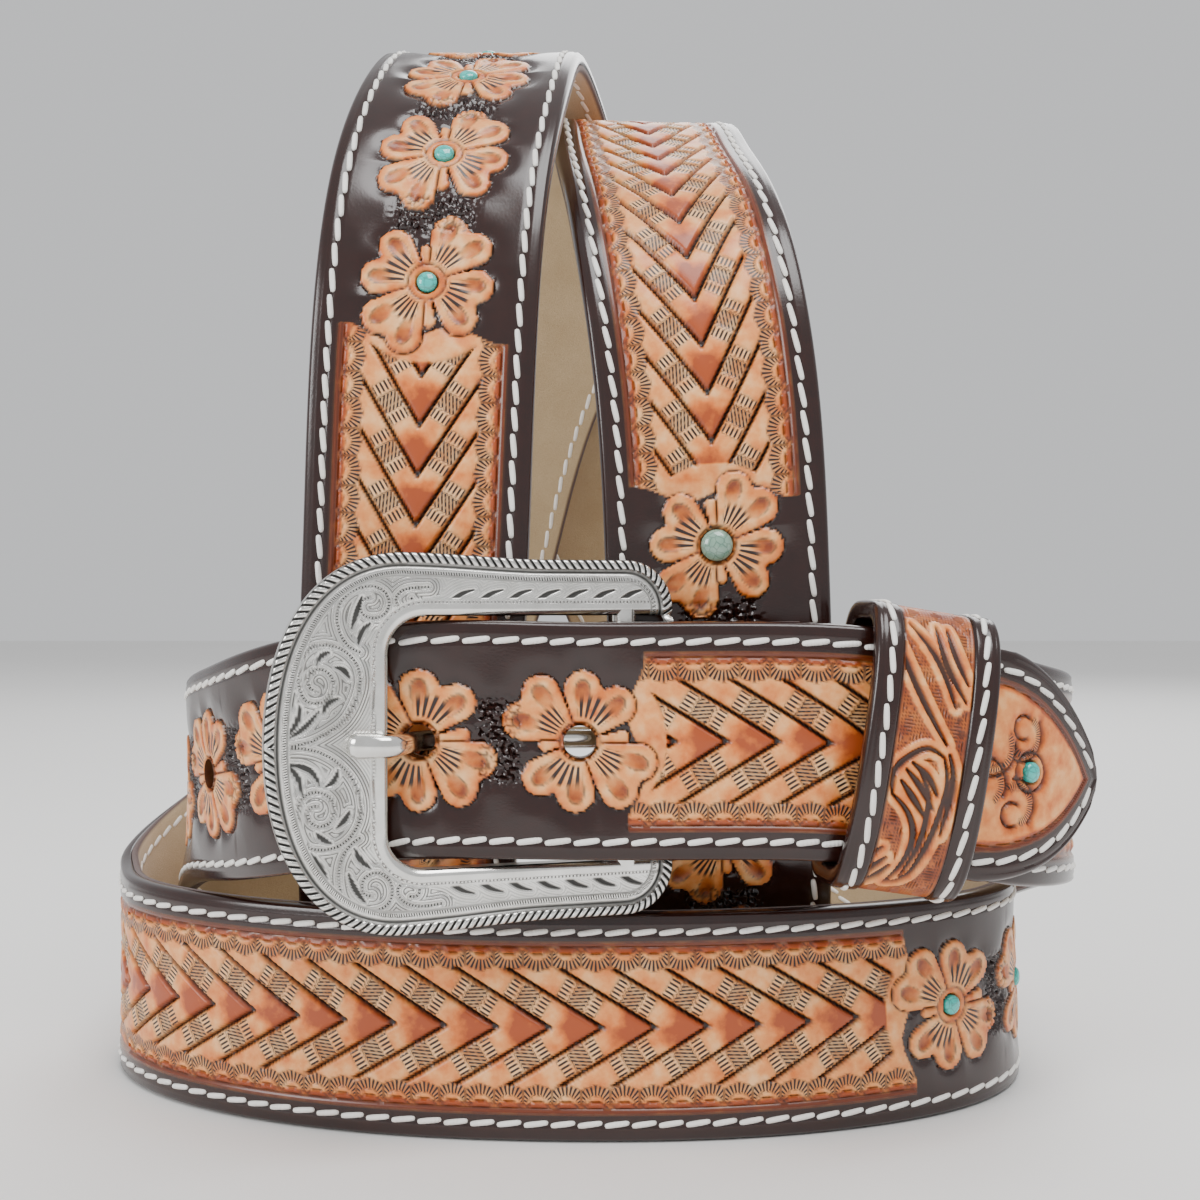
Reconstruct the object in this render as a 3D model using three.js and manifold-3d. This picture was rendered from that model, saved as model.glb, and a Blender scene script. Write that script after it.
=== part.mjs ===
// Tooled western belt, standing as a coiled display: two coils, two arches, buckle at the front.
// Millimetres, +Z up. X runs to the right of the buckle, Y runs back from the front face.
import * as THREE from "three";
import { mergeVertices } from "three/addons/utils/BufferGeometryUtils.js";
import Module from "manifold-3d";

const wasm = await Module();
wasm.setup();

// Strap leather
const STRAP_WIDTH = 38;
const STRAP_THICKNESS = 4;
const FACE_EDGE_ROUND = 1.3;
const BACK_EDGE_ROUND = 0.7;
const TIP_LENGTH = 31;
const TIP_BLUNT = 2.4;
const CHAPE_THICKNESS = 2.4;
const CHAPE_RETURN_LENGTH = 29;
const SKIVE_LENGTH = 20;

// Standing coil
const COIL_HALF_WIDTH = 90;
const COIL_DEPTH = 125;
const ARCH_HEIGHT = 200;
const LAYER_GAP = 0.7;

// Holes, stones
const HOLE_PITCH = 25.4;
const HOLE_COUNT = 5;
const HOLE_RADIUS = 2.6;
const HOLE_TO_WINDOW = 5;
const STONE_RADIUS = 1.7;
const DOME_STONE_RADIUS = 2.7;
const STONE_RISE = 0.7;
const STONE_SEAT_DEPTH = 1;
const STONE_TO_TIP = 19;
const SEAT_CLEARANCE = 0.3;

// Buckle
const FRAME_THICKNESS = 3.4;
const FRAME_HALF_HEIGHT = 30;
const FRAME_NOSE = 19;
const ARM_OVERHANG = 7.8;
const WINDOW_LENGTH = 39.4;
const WINDOW_CORNER = 6;
const ARM_ROUND = 8;
const ARM_TAPER = 1;
const STRAP_CLEARANCE = 1;
const ROPE_WIDTH = 2.2;
const ROPE_RISE = 0.5;
const HEEL_BAR_X = 4;
const HEEL_BAR_RADIUS = 2;
const BAR_CLEARANCE = 0.3;
const FRAME_CLEARANCE = 0.6;

// Tongue
const TONGUE_RADIUS = 1.8;
const TONGUE_LOOP_WALL = 1.7;
const TONGUE_LOOP_WIDTH = 4.4;
const TONGUE_REST = 3.9;
const TONGUE_CLEARANCE = 0.35;
const TONGUE_LIFT = 0.9;

// Keeper
const KEEPER_WIDTH = 20.5;
const KEEPER_THICKNESS = 3;
const KEEPER_BULGE = 4;
const KEEPER_CLEARANCE = 1.1;
const KEEPER_X = 49.5;

// Rivets that close the chape
const RIVET_FIRST_X = 18;
const RIVET_PITCH = 11;
const RIVET_POST_RADIUS = 1.6;
const RIVET_CAP_RADIUS = 3.7;
const RIVET_CAP_RISE = 1.2;
const RIVET_HEAD_RADIUS = 3.2;
const RIVET_HEAD_THICKNESS = 0.8;

// Facets
const MAX_STEP = 12;
const MAX_TURN = 0.34;

const LEATHER_DYE = 0x4a241c;
const ANTIQUE_SILVER = 0xb9b8b3;
const TURQUOISE = 0x36bfb2;
const SEA_GREEN = 0x7f9b86;

// Heights that the coils share: lower coil on the floor, upper coil and buckle above it
const BUCKLE_Z = 0.0525 * ARCH_HEIGHT + 1.5 * STRAP_WIDTH;
const BAR_Y = STRAP_THICKNESS + LAYER_GAP + CHAPE_THICKNESS + BAR_CLEARANCE + HEEL_BAR_RADIUS;

// The front lap, where the billet lies over the chape end: x, y and z as shares of the coil's
// half width, depth and arch height, strap widths added to z, and the way the tooled face looks.
const FRONT_LAP = [
  // x, y, z, widths, faceX, faceY, faceZ
  [0.31, 0, 0.0525, 1.5, 0, -1, 0],
  [0.44, 0.003, 0.05, 1.5, 0.04, -1, 0],
  [0.56, 0.011, 0.043, 1.5, 0.14, -1, 0],
  [0.69, 0.034, 0.032, 1.5, 0.33, -1, 0],
  [0.81, 0.084, 0.02, 1.5, 0.62, -0.78, 0],
];

// From the lap round the right, under the back and up the right arch, down its back leg to the
// left, round the lower coil to the right, up the left arch from behind and down its front leg,
// then round the left end of the upper coil to the buckle.
const COILS = [
  // x, y, z, widths, faceX, faceY, faceZ
  [0.935, 0.272, 0.003, 1.5, 0.95, -0.3, 0],
  [0.978, 0.44, -0.015, 1.5, 1, 0.15, 0],
  [0.972, 0.64, -0.05, 1.5, 0.9, 0.45, -0.15],
  [0.85, 0.824, -0.105, 1.5, 0.55, 0.8, -0.4],
  [0.63, 0.892, 0.02, 0.5, 0.2, 0.7, -0.7],
  [0.44, 0.84, 0.05, 0, -0.15, 0.35, -1],
  [0.335, 0.69, 0.0165, 0, -0.05, 0.05, -1],
  [0.295, 0.56, 0.011, 0, 0, 0, -1],
  [0.278, 0.43, 0.0145, 0, 0, -0.1, -1],
  [0.25, 0.265, 0.075, 0, 0, -0.85, -0.5],
  [0.239, 0.192, 0.19, 0, 0, -1, -0.15],
  [0.231, 0.131, 0.325, 0, 0, -1, -0.05],
  [0.22, 0.118, 0.485, 0, 0, -1, 0],
  [0.199, 0.127, 0.64, 0, 0, -1, 0.08],
  [0.167, 0.174, 0.747, 0, 0, -0.93, 0.35],
  [0.139, 0.275, 0.822, 0, 0, -0.7, 0.7],
  [0.111, 0.43, 0.889, 0, 0, -0.45, 0.9],
  [0.083, 0.6, 0.938, 0, 0, 0.1, 1],
  [0.033, 0.724, 0.905, 0, 0, 0.7, 0.7],
  [-0.078, 0.808, 0.815, 0, 0, 1, 0.35],
  [-0.211, 0.856, 0.69, 0, 0, 1, 0.1],
  [-0.289, 0.872, 0.575, 0, 0, 1, 0],
  [-0.367, 0.888, 0.45, 0, -0.05, 1, -0.05],
  [-0.511, 0.888, 0.33, 0, -0.25, 0.9, -0.35],
  [-0.711, 0.832, 0.23, 0, -0.5, 0.6, -0.55],
  [-0.911, 0.704, 0.15, 0, -0.75, 0.4, -0.45],
  [-1.033, 0.512, 0.005, 0.5, -1, 0.15, -0.05],
  [-0.955, 0.33, 0, 0.5, -0.8, -0.6, 0],
  [-0.667, 0.172, 0, 0.5, -0.3, -1, 0],
  [-0.078, 0.084, 0, 0.5, 0, -1, 0],
  [0.489, 0.136, 0, 0.5, 0.25, -1, 0],
  [0.811, 0.288, 0, 0.5, 0.75, -0.65, 0],
  [0.878, 0.464, 0.005, 0.5, 1, 0.1, 0],
  [0.822, 0.64, 0.04, 0.5, 0.85, 0.5, -0.3],
  [0.656, 0.8, 0.105, 0.5, 0.55, 0.8, -0.45],
  [0.422, 0.928, 0.28, 0, 0.35, 0.95, -0.4],
  [0.211, 0.988, 0.375, 0, 0.15, 1, -0.2],
  [0.083, 1, 0.49, 0, 0, 1, 0],
  [0.011, 0.984, 0.59, 0, 0, 1, 0.05],
  [-0.05, 0.944, 0.71, 0, 0, 1, 0.15],
  [-0.111, 0.864, 0.84, 0, 0, 0.9, 0.4],
  [-0.183, 0.72, 0.95, 0, 0, 0.55, 0.8],
  [-0.24, 0.54, 0.9915, 0, 0, 0, 1],
  [-0.268, 0.337, 0.94, 0, 0, -0.7, 0.7],
  [-0.307, 0.165, 0.815, 0, 0, -0.95, 0.3],
  [-0.33, 0.1, 0.655, 0, 0, -1, 0.1],
  [-0.343, 0.09, 0.485, 0, -0.05, -1, 0],
  [-0.36, 0.106, 0.31, 0, -0.08, -1, -0.05],
  [-0.375, 0.185, 0.18, 0, -0.04, -1, -0.22],
  [-0.383, 0.258, 0.064, 0, 0, -0.8, -0.6],
  [-0.4, 0.384, 0.013, 0, 0, -0.1, -1],
  [-0.445, 0.49, 0.034, 0, 0.2, 0.15, -1],
  [-0.544, 0.57, 0.088, 0, 0.3, 0.6, -0.75],
  [-0.678, 0.6, 0.148, 0, 0, 1, -0.3],
  [-0.806, 0.54, 0.215, 0, -0.6, 0.8, 0],
  [-0.862, 0.424, -0.022, 1.5, -1, 0.05, 0],
  [-0.745, 0.21, 0.012, 1.5, -0.75, -0.65, 0],
  [-0.556, 0.055, 0.037, 1.5, -0.45, -0.9, 0],
  [-0.36, 0.002, 0.052, 1.5, -0.05, -1, 0],
  [-0.056, 0, 0.0525, 1.5, 0, -1, 0],
];
const TIP_POINT = [0.94, 0.166, 0.01, 1.5, 0.75, -0.65, 0];

// A row of the route: place of the leather's middle, and the way its tooled face looks.
function routeRow([x, y, z, widths, faceX, faceY, faceZ], inward = 0) {
  const face = new THREE.Vector3(faceX, faceY, faceZ).normalize();
  const place = new THREE.Vector3(
    x * COIL_HALF_WIDTH,
    y * COIL_DEPTH + STRAP_THICKNESS / 2,
    z * ARCH_HEIGHT + widths * STRAP_WIDTH,
  ).addScaledVector(face, -inward);
  return { place, face };
}

// The chape end: a thinned return behind the heel bar, folded round it to the front.
function chapeRows() {
  const fold = HEEL_BAR_RADIUS + BAR_CLEARANCE + CHAPE_THICKNESS / 2;
  const returnY = 2 * STRAP_THICKNESS + 2 * LAYER_GAP + CHAPE_THICKNESS / 2;
  const back = new THREE.Vector3(0, 1, 0);
  const rows = [1, 0.66, 0.36].map((share) => ({
    place: new THREE.Vector3(HEEL_BAR_X + share * CHAPE_RETURN_LENGTH, returnY, BUCKLE_Z),
    face: back,
  }));
  for (let step = 0; step <= 6; step += 1) {
    const angle = Math.PI / 2 + (step * Math.PI) / 6;
    const face = new THREE.Vector3(Math.cos(angle), Math.sin(angle), 0);
    const place = new THREE.Vector3(HEEL_BAR_X, BAR_Y, BUCKLE_Z).addScaledVector(face, fold);
    rows.push({ place, face });
  }
  return rows;
}

// The front layer of the chape, thickening from the fold to the full leather.
function skivedRow() {
  const share = 0.45;
  const thickness = CHAPE_THICKNESS + share * (STRAP_THICKNESS - CHAPE_THICKNESS);
  const place = new THREE.Vector3(
    HEEL_BAR_X + share * SKIVE_LENGTH,
    STRAP_THICKNESS + LAYER_GAP + thickness / 2,
    BUCKLE_Z,
  );
  return { place, face: new THREE.Vector3(0, -1, 0) };
}

// Natural cubic spline through rows of numbers at the given knots.
function splineThrough(knots, rows) {
  const last = rows.length - 1;
  const bends = rows.map((row) => row.map(() => 0));
  rows[0].forEach((_, column) => {
    const slope = [0];
    const rest = [0];
    for (let i = 1; i < last; i += 1) {
      const before = knots[i] - knots[i - 1];
      const after = knots[i + 1] - knots[i];
      const rise = (rows[i + 1][column] - rows[i][column]) / after;
      const fall = (rows[i][column] - rows[i - 1][column]) / before;
      const pivot = 2 * (before + after) - before * slope[i - 1];
      slope.push(after / pivot);
      rest.push((6 * (rise - fall) - before * rest[i - 1]) / pivot);
    }
    for (let i = last - 1; i > 0; i -= 1) {
      bends[i][column] = rest[i] - slope[i] * bends[i + 1][column];
    }
  });
  return (at) => {
    let i = 0;
    while (i < last - 1 && knots[i + 1] < at) {
      i += 1;
    }
    const span = knots[i + 1] - knots[i];
    const b = (at - knots[i]) / span;
    const a = 1 - b;
    const curve = (span * span) / 6;
    return rows[i].map((value, column) => a * value + b * rows[i + 1][column]
      + curve * ((a ** 3 - a) * bends[i][column] + (b ** 3 - b) * bends[i + 1][column]));
  };
}

// The strap's route: frames with place, along, face and across, by length from the chape's end.
function makeRoute() {
  const inward = STRAP_THICKNESS + LAYER_GAP;
  const rows = [
    ...chapeRows(),
    skivedRow(),
    ...FRONT_LAP.map((row) => routeRow(row, inward)),
    ...COILS.map((row) => routeRow(row)),
    ...FRONT_LAP.map((row) => routeRow(row)),
    routeRow(TIP_POINT),
  ];
  const knots = [0];
  rows.forEach((row, i) => {
    if (i > 0) {
      knots.push(knots[i - 1] + row.place.distanceTo(rows[i - 1].place));
    }
  });
  const numbers = rows.map((row) => [...row.place.toArray(), ...row.face.toArray()]);
  const spline = splineThrough(knots, numbers);
  const placeAt = (at) => new THREE.Vector3(...spline(at));
  const samples = [{ at: 0, length: 0 }];
  const end = knots[knots.length - 1];
  const fine = 0.5;
  for (let at = fine; at < end; at += fine) {
    const before = samples[samples.length - 1];
    const length = before.length + placeAt(at).distanceTo(placeAt(before.at));
    samples.push({ at, length });
  }
  const total = samples[samples.length - 1].length;
  const knotAt = (length) => {
    const index = samples.findIndex((sample) => sample.length >= length);
    if (index <= 0) {
      return index === 0 ? 0 : end;
    }
    const low = samples[index - 1];
    const high = samples[index];
    const share = (length - low.length) / (high.length - low.length);
    return low.at + share * (high.at - low.at);
  };
  const thicknessAt = (at) => {
    const full = knots[chapeRows().length - 1];
    const share = Math.min(Math.max((at - full) / SKIVE_LENGTH, 0), 1);
    return CHAPE_THICKNESS + share * (STRAP_THICKNESS - CHAPE_THICKNESS);
  };
  const frameAt = (length) => {
    const at = Math.min(Math.max(knotAt(length), 0.01), end - 0.01);
    const values = spline(at);
    const along = placeAt(at + 0.01).sub(placeAt(at - 0.01)).normalize();
    const face = new THREE.Vector3(values[3], values[4], values[5]);
    face.addScaledVector(along, -face.dot(along)).normalize();
    const across = new THREE.Vector3().crossVectors(along, face);
    return { place: new THREE.Vector3(...values), along, face, across, thickness: thicknessAt(at) };
  };
  return { total, frameAt };
}

const route = makeRoute();

// Length along the belt at which its billet passes a given x.
function billetLengthAt(x) {
  let length = route.total;
  while (route.frameAt(length).place.x > x) {
    length -= 0.1;
  }
  return length;
}

function geometryFrom(positions, triangles) {
  const geometry = new THREE.BufferGeometry();
  geometry.setAttribute("position", new THREE.Float32BufferAttribute(positions, 3));
  geometry.setIndex(triangles);
  return geometry;
}

function solidFrom(geometry) {
  const bare = geometry.clone();
  bare.deleteAttribute("normal");
  bare.deleteAttribute("uv");
  const merged = mergeVertices(bare, 1e-4);
  return new wasm.Manifold(new wasm.Mesh({
    numProp: 3,
    vertProperties: new Float32Array(merged.attributes.position.array),
    triVerts: new Uint32Array(merged.index.array),
  }));
}

function geometryOf(solid) {
  const mesh = solid.getMesh();
  return geometryFrom(Array.from(mesh.vertProperties), Array.from(mesh.triVerts));
}

function leatherMesh(name, geometry) {
  const material = new THREE.MeshStandardMaterial({ color: LEATHER_DYE, roughness: 0.45 });
  const mesh = new THREE.Mesh(geometry, material);
  mesh.name = name;
  return mesh;
}

function metalMesh(name, geometry) {
  const material = new THREE.MeshStandardMaterial({
    color: ANTIQUE_SILVER,
    roughness: 0.35,
    metalness: 1,
  });
  const mesh = new THREE.Mesh(geometry, material);
  mesh.name = name;
  return mesh;
}

// Half width of the strap at a distance from its point: full, then a pointed arch.
function halfWidthAt(fromTip) {
  const half = STRAP_WIDTH / 2;
  if (fromTip >= TIP_LENGTH) {
    return half;
  }
  const rise = half - TIP_BLUNT;
  const radius = (TIP_LENGTH ** 2 + rise ** 2) / (2 * rise);
  const reach = TIP_LENGTH - fromTip;
  const arch = Math.sqrt(radius ** 2 - reach ** 2) - radius + rise;
  const nose = Math.min(fromTip / TIP_BLUNT, 1);
  return Math.min(arch + TIP_BLUNT * Math.sqrt(nose * (2 - nose)) + 0.3, half);
}

// Outline of the leather across its width: rounded at the face, eased at the back.
function strapSection(half, thickness) {
  const face = Math.min(FACE_EDGE_ROUND, half * 0.6, thickness * 0.45);
  const back = Math.min(BACK_EDGE_ROUND, half * 0.4, thickness * 0.3);
  const top = thickness / 2;
  const soft = face * 0.3;
  const right = [
    [half - face, top],
    [half - soft, top - soft],
    [half, top - face],
    [half, back - top],
    [half - back, -top],
  ];
  const left = right.map(([across, out]) => [-across, out]).reverse();
  return [...right, ...left];
}

// Lengths at which the strap has sections: close in bends, far apart where it runs straight.
function sectionLengths() {
  const lengths = [0];
  const step = 0.5;
  let before = route.frameAt(0);
  let spent = 0;
  for (let length = step; length < route.total; length += step) {
    const frame = route.frameAt(length);
    const turn = frame.along.angleTo(before.along) + frame.across.angleTo(before.across);
    const tip = route.total - length < TIP_LENGTH ? 2.5 : 1;
    spent += (tip * step) / MAX_STEP + turn / MAX_TURN;
    before = frame;
    if (spent >= 1) {
      lengths.push(length);
      spent = 0;
    }
  }
  lengths.push(route.total);
  return lengths;
}

function strapBody() {
  const positions = [];
  const triangles = [];
  const lengths = sectionLengths();
  const count = strapSection(STRAP_WIDTH / 2, STRAP_THICKNESS).length;
  lengths.forEach((length, row) => {
    const frame = route.frameAt(length);
    strapSection(halfWidthAt(route.total - length), frame.thickness).forEach(([across, out]) => {
      const point = frame.place.clone()
        .addScaledVector(frame.across, across)
        .addScaledVector(frame.face, out);
      positions.push(...point.toArray());
    });
    if (row > 0) {
      for (let i = 0; i < count; i += 1) {
        const next = (i + 1) % count;
        const a = (row - 1) * count + i;
        const b = (row - 1) * count + next;
        const c = row * count + next;
        const d = row * count + i;
        triangles.push(a, b, c, a, c, d);
      }
    }
  });
  const first = (lengths.length - 1) * count;
  for (let i = 1; i < count - 1; i += 1) {
    triangles.push(0, i + 1, i, first, first + i, first + i + 1);
  }
  return solidFrom(geometryFrom(positions, triangles));
}

// A round drill through or into the leather, along its facing direction.
function drill(length, radius, from, to) {
  const frame = route.frameAt(length);
  const geometry = new THREE.CylinderGeometry(radius, radius, to - from, 10);
  geometry.translate(0, (from + to) / 2, 0);
  geometry.applyMatrix4(new THREE.Matrix4().makeBasis(frame.along, frame.face, frame.across)
    .setPosition(frame.place));
  return geometry;
}

// The buckle leans back from its nose to the heel bar, so that its nose clears the billet.
const LEAN = Math.asin((BAR_Y + FRAME_CLEARANCE + FRAME_THICKNESS / 2) / WINDOW_LENGTH);
const windowEdgeX = HEEL_BAR_X - WINDOW_LENGTH * Math.cos(LEAN);
const tongueHoleLength = billetLengthAt(windowEdgeX + HOLE_TO_WINDOW);
const freeHoleLength = tongueHoleLength + HOLE_PITCH;

// Flower panels with stones: name, stones, size of stone, and place of the first stone as a
// share of the belt's length.
const STONE_PANELS = [
  // name, count, radius, share
  ["right_arch", 4, DOME_STONE_RADIUS, 0.1953],
  ["back_swoop", 4, STONE_RADIUS, 0.36],
  ["lower_coil", 4, STONE_RADIUS, 0.5363],
  ["left_arch", 4, STONE_RADIUS, 0.7109],
];

function stonePlaces() {
  const places = [];
  STONE_PANELS.forEach(([name, count, radius, share]) => {
    for (let i = 0; i < count; i += 1) {
      places.push({ name: `stone_${name}_${i + 1}`, radius, length: share * route.total + i * HOLE_PITCH });
    }
  });
  places.push({ name: "stone_tip", radius: STONE_RADIUS, length: route.total - STONE_TO_TIP });
  return places;
}

// Low domed stone, its foot on the seat of the flower's centre.
function stoneGeometry(radius) {
  const foot = SEAT_CLEARANCE - STONE_SEAT_DEPTH;
  const profile = [[0, foot], [radius, foot], [radius, 0], [radius * 0.6, STONE_RISE * 0.8], [0, STONE_RISE]];
  return new THREE.LatheGeometry(profile.map(([x, y]) => new THREE.Vector2(x, y)), 10);
}

function stoneMesh({ name, radius, length }) {
  const color = radius === DOME_STONE_RADIUS ? SEA_GREEN : TURQUOISE;
  const material = new THREE.MeshStandardMaterial({ color, roughness: 0.3 });
  const mesh = new THREE.Mesh(stoneGeometry(radius), material);
  const frame = route.frameAt(length);
  const top = frame.place.clone().addScaledVector(frame.face, frame.thickness / 2);
  mesh.name = name;
  mesh.applyMatrix4(new THREE.Matrix4().makeBasis(frame.along, frame.face, frame.across)
    .setPosition(top));
  return mesh;
}

function place(object) {
  object.rotation.z = LEAN;
  object.position.set(HEEL_BAR_X, BAR_Y, BUCKLE_Z);
  return object;
}

// Horseshoe outline in the frame's plane: x from the heel bar, y up, drawn in by an inset.
function horseshoe(inset) {
  const high = FRAME_HALF_HEIGHT - inset;
  const arm = STRAP_WIDTH / 2 + STRAP_CLEARANCE + inset;
  const end = ARM_OVERHANG - inset;
  const nose = -WINDOW_LENGTH - FRAME_NOSE + inset;
  const window = -WINDOW_LENGTH - inset;
  const corner = Math.max(WINDOW_CORNER - inset, 0.5);
  const armHigh = high - ARM_TAPER;
  const round = Math.min(ARM_ROUND - inset, 0.9 * (armHigh - arm));
  const shoulder = -WINDOW_LENGTH * 0.94;
  const waist = -WINDOW_LENGTH * 0.35;
  const cheek = shoulder - FRAME_NOSE * 0.7;
  const fullness = high * 0.6;
  const shape = new THREE.Shape();
  shape.moveTo(end, arm);
  shape.lineTo(end, armHigh - round);
  shape.absarc(end - round, armHigh - round, round, 0, Math.PI / 2, false);
  shape.lineTo(waist, armHigh);
  shape.bezierCurveTo(waist * 1.5, armHigh, shoulder * 0.8, high, shoulder, high);
  shape.bezierCurveTo(cheek, high, nose, fullness, nose, 0);
  shape.bezierCurveTo(nose, -fullness, cheek, -high, shoulder, -high);
  shape.bezierCurveTo(shoulder * 0.8, -high, waist * 1.5, -armHigh, waist, -armHigh);
  shape.lineTo(end - round, -armHigh);
  shape.absarc(end - round, round - armHigh, round, -Math.PI / 2, 0, false);
  shape.lineTo(end, -arm);
  shape.lineTo(window + corner, -arm);
  shape.quadraticCurveTo(window, -arm, window, -arm + corner);
  shape.lineTo(window, arm - corner);
  shape.quadraticCurveTo(window, arm, window + corner, arm);
  shape.closePath();
  return shape;
}

// A flat piece of the frame: shape upright in its plane, between two depths behind its face.
function frameSlab(shape, front, back, bevel) {
  const geometry = new THREE.ExtrudeGeometry(shape, {
    depth: back - front - 2 * bevel,
    bevelEnabled: bevel > 0,
    bevelThickness: bevel,
    bevelSize: bevel,
    bevelOffset: -bevel,
    bevelSegments: 1,
    curveSegments: 7,
  });
  geometry.rotateX(Math.PI / 2);
  geometry.translate(0, back - bevel, 0);
  return solidFrom(geometry);
}

function buckleFrame() {
  const half = FRAME_THICKNESS / 2;
  const plate = frameSlab(horseshoe(0), -half, half, 0.6);
  const rope = frameSlab(horseshoe(0.1), -half - ROPE_RISE, 0, 0.5)
    .subtract(frameSlab(horseshoe(ROPE_WIDTH), -half - 2 * ROPE_RISE, half, 0))
    .subtract(windowSlab(ROPE_WIDTH));
  const barLength = STRAP_WIDTH + 2 * STRAP_CLEARANCE + 2 * HEEL_BAR_RADIUS;
  const bar = new THREE.CylinderGeometry(HEEL_BAR_RADIUS, HEEL_BAR_RADIUS, barLength, 12);
  bar.rotateX(Math.PI / 2);
  return plate.add(rope).add(solidFrom(bar));
}

// Block that keeps the raised rope off the window's rim and the arms' inner edges.
function windowSlab(margin) {
  const high = STRAP_WIDTH / 2 + STRAP_CLEARANCE + margin;
  const length = WINDOW_LENGTH + margin + ARM_OVERHANG - margin;
  const block = new THREE.BoxGeometry(length, 4 * FRAME_THICKNESS, 2 * high);
  block.translate(ARM_OVERHANG - margin - length / 2, 0, 0);
  return solidFrom(block);
}

// Middle line of the tongue in plan: from the heel bar, through the hole, onto the nose bar.
function tonguePath() {
  const behind = STRAP_THICKNESS + LAYER_GAP + TONGUE_RADIUS + TONGUE_CLEARANCE;
  const hole = route.frameAt(tongueHoleLength).place.x;
  const faceOver = (x) => BAR_Y + (x - HEEL_BAR_X) * Math.tan(LEAN)
    - FRAME_THICKNESS / 2 / Math.cos(LEAN) - TONGUE_CLEARANCE - TONGUE_RADIUS;
  const points = [
    [HEEL_BAR_X - HEEL_BAR_RADIUS - BAR_CLEARANCE - TONGUE_LOOP_WALL / 2, BAR_Y - TONGUE_RADIUS * 0.6],
    [HEEL_BAR_X - 3 * TONGUE_RADIUS - 2 * TONGUE_LOOP_WALL - HEEL_BAR_RADIUS, behind + 0.2],
    [hole + 5 * TONGUE_RADIUS, behind],
    [hole + 2 * TONGUE_RADIUS, behind - 0.6 * STRAP_THICKNESS],
    [hole, STRAP_THICKNESS / 2],
    [hole - TONGUE_RADIUS, -TONGUE_RADIUS - 0.4 * STRAP_THICKNESS],
    [windowEdgeX + 1, faceOver(windowEdgeX) - TONGUE_LIFT],
    [windowEdgeX - TONGUE_REST * 0.6, faceOver(windowEdgeX - TONGUE_REST * 0.6) - TONGUE_LIFT / 3],
    [windowEdgeX - TONGUE_REST, faceOver(windowEdgeX - TONGUE_REST)],
  ];
  return new THREE.CatmullRomCurve3(
    points.map(([x, y]) => new THREE.Vector3(x, y, BUCKLE_Z)), false, "centripetal");
}

function tongueRod(radius, steps) {
  const shape = new THREE.Shape();
  shape.absellipse(0, 0, radius, radius, 0, 2 * Math.PI);
  return new THREE.ExtrudeGeometry(shape, {
    steps,
    extrudePath: tonguePath(),
    curveSegments: 4,
    bevelEnabled: false,
  });
}

function tongueLoop(wall, width) {
  const inner = HEEL_BAR_RADIUS + BAR_CLEARANCE;
  const ring = new THREE.Shape();
  ring.absarc(0, 0, inner + wall, 0, 2 * Math.PI);
  const hole = new THREE.Path();
  hole.absarc(0, 0, inner, 0, 2 * Math.PI);
  ring.holes.push(hole);
  const geometry = new THREE.ExtrudeGeometry(ring, {
    depth: width,
    bevelEnabled: false,
    curveSegments: 8,
  });
  geometry.translate(HEEL_BAR_X, BAR_Y, BUCKLE_Z - width / 2);
  return geometry;
}

function tongueBody() {
  const ball = new THREE.SphereGeometry(TONGUE_RADIUS, 8, 6);
  ball.translate(...tonguePath().getPoint(1).toArray());
  return solidFrom(tongueRod(TONGUE_RADIUS, 18))
    .add(solidFrom(tongueLoop(TONGUE_LOOP_WALL, TONGUE_LOOP_WIDTH)))
    .add(solidFrom(ball));
}

// Slot in the chape's fold that the tongue's loop turns in.
function tongueSlot() {
  const loop = HEEL_BAR_RADIUS + BAR_CLEARANCE + TONGUE_LOOP_WALL + 2 * TONGUE_CLEARANCE;
  const fold = HEEL_BAR_RADIUS + BAR_CLEARANCE + CHAPE_THICKNESS;
  const length = 2 * loop + 2;
  const block = new THREE.BoxGeometry(
    length, 2 * fold + TONGUE_CLEARANCE, TONGUE_LOOP_WIDTH + 2 * TONGUE_CLEARANCE);
  block.translate(HEEL_BAR_X + loop + 1 - length / 2, BAR_Y, BUCKLE_Z);
  return solidFrom(block);
}

// Keeper loop: an oval round both layers, bulging over the tooled face.
function keeperOutline(outward) {
  const frontDepth = STRAP_THICKNESS / 2 + KEEPER_CLEARANCE + KEEPER_BULGE + outward;
  const backDepth = 1.5 * STRAP_THICKNESS + LAYER_GAP + 2.1 * KEEPER_CLEARANCE + outward;
  const high = STRAP_WIDTH / 2 + KEEPER_CLEARANCE + outward;
  const points = [];
  const sides = 36;
  for (let i = 0; i < sides; i += 1) {
    const angle = (2 * Math.PI * i) / sides;
    const front = Math.cos(angle) > 0;
    const depth = front ? frontDepth : backDepth;
    const power = front ? 0.8 : 0.3;
    const x = depth * Math.sign(Math.cos(angle)) * Math.abs(Math.cos(angle)) ** power;
    const y = high * Math.sign(Math.sin(angle)) * Math.abs(Math.sin(angle)) ** power;
    points.push(new THREE.Vector2(x, y));
  }
  return points;
}

function keeperMesh() {
  const shape = new THREE.Shape(keeperOutline(KEEPER_THICKNESS));
  shape.holes.push(new THREE.Path(keeperOutline(0)));
  const ease = 0.7;
  const geometry = new THREE.ExtrudeGeometry(shape, {
    depth: KEEPER_WIDTH - 2 * ease,
    bevelThickness: ease,
    bevelSize: ease,
    bevelOffset: -ease,
    bevelSegments: 1,
  });
  geometry.translate(0, 0, ease - KEEPER_WIDTH / 2);
  const frame = route.frameAt(billetLengthAt(KEEPER_X));
  const mesh = leatherMesh("keeper", geometry);
  mesh.applyMatrix4(new THREE.Matrix4().makeBasis(frame.face, frame.across, frame.along)
    .setPosition(frame.place));
  return mesh;
}

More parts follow.
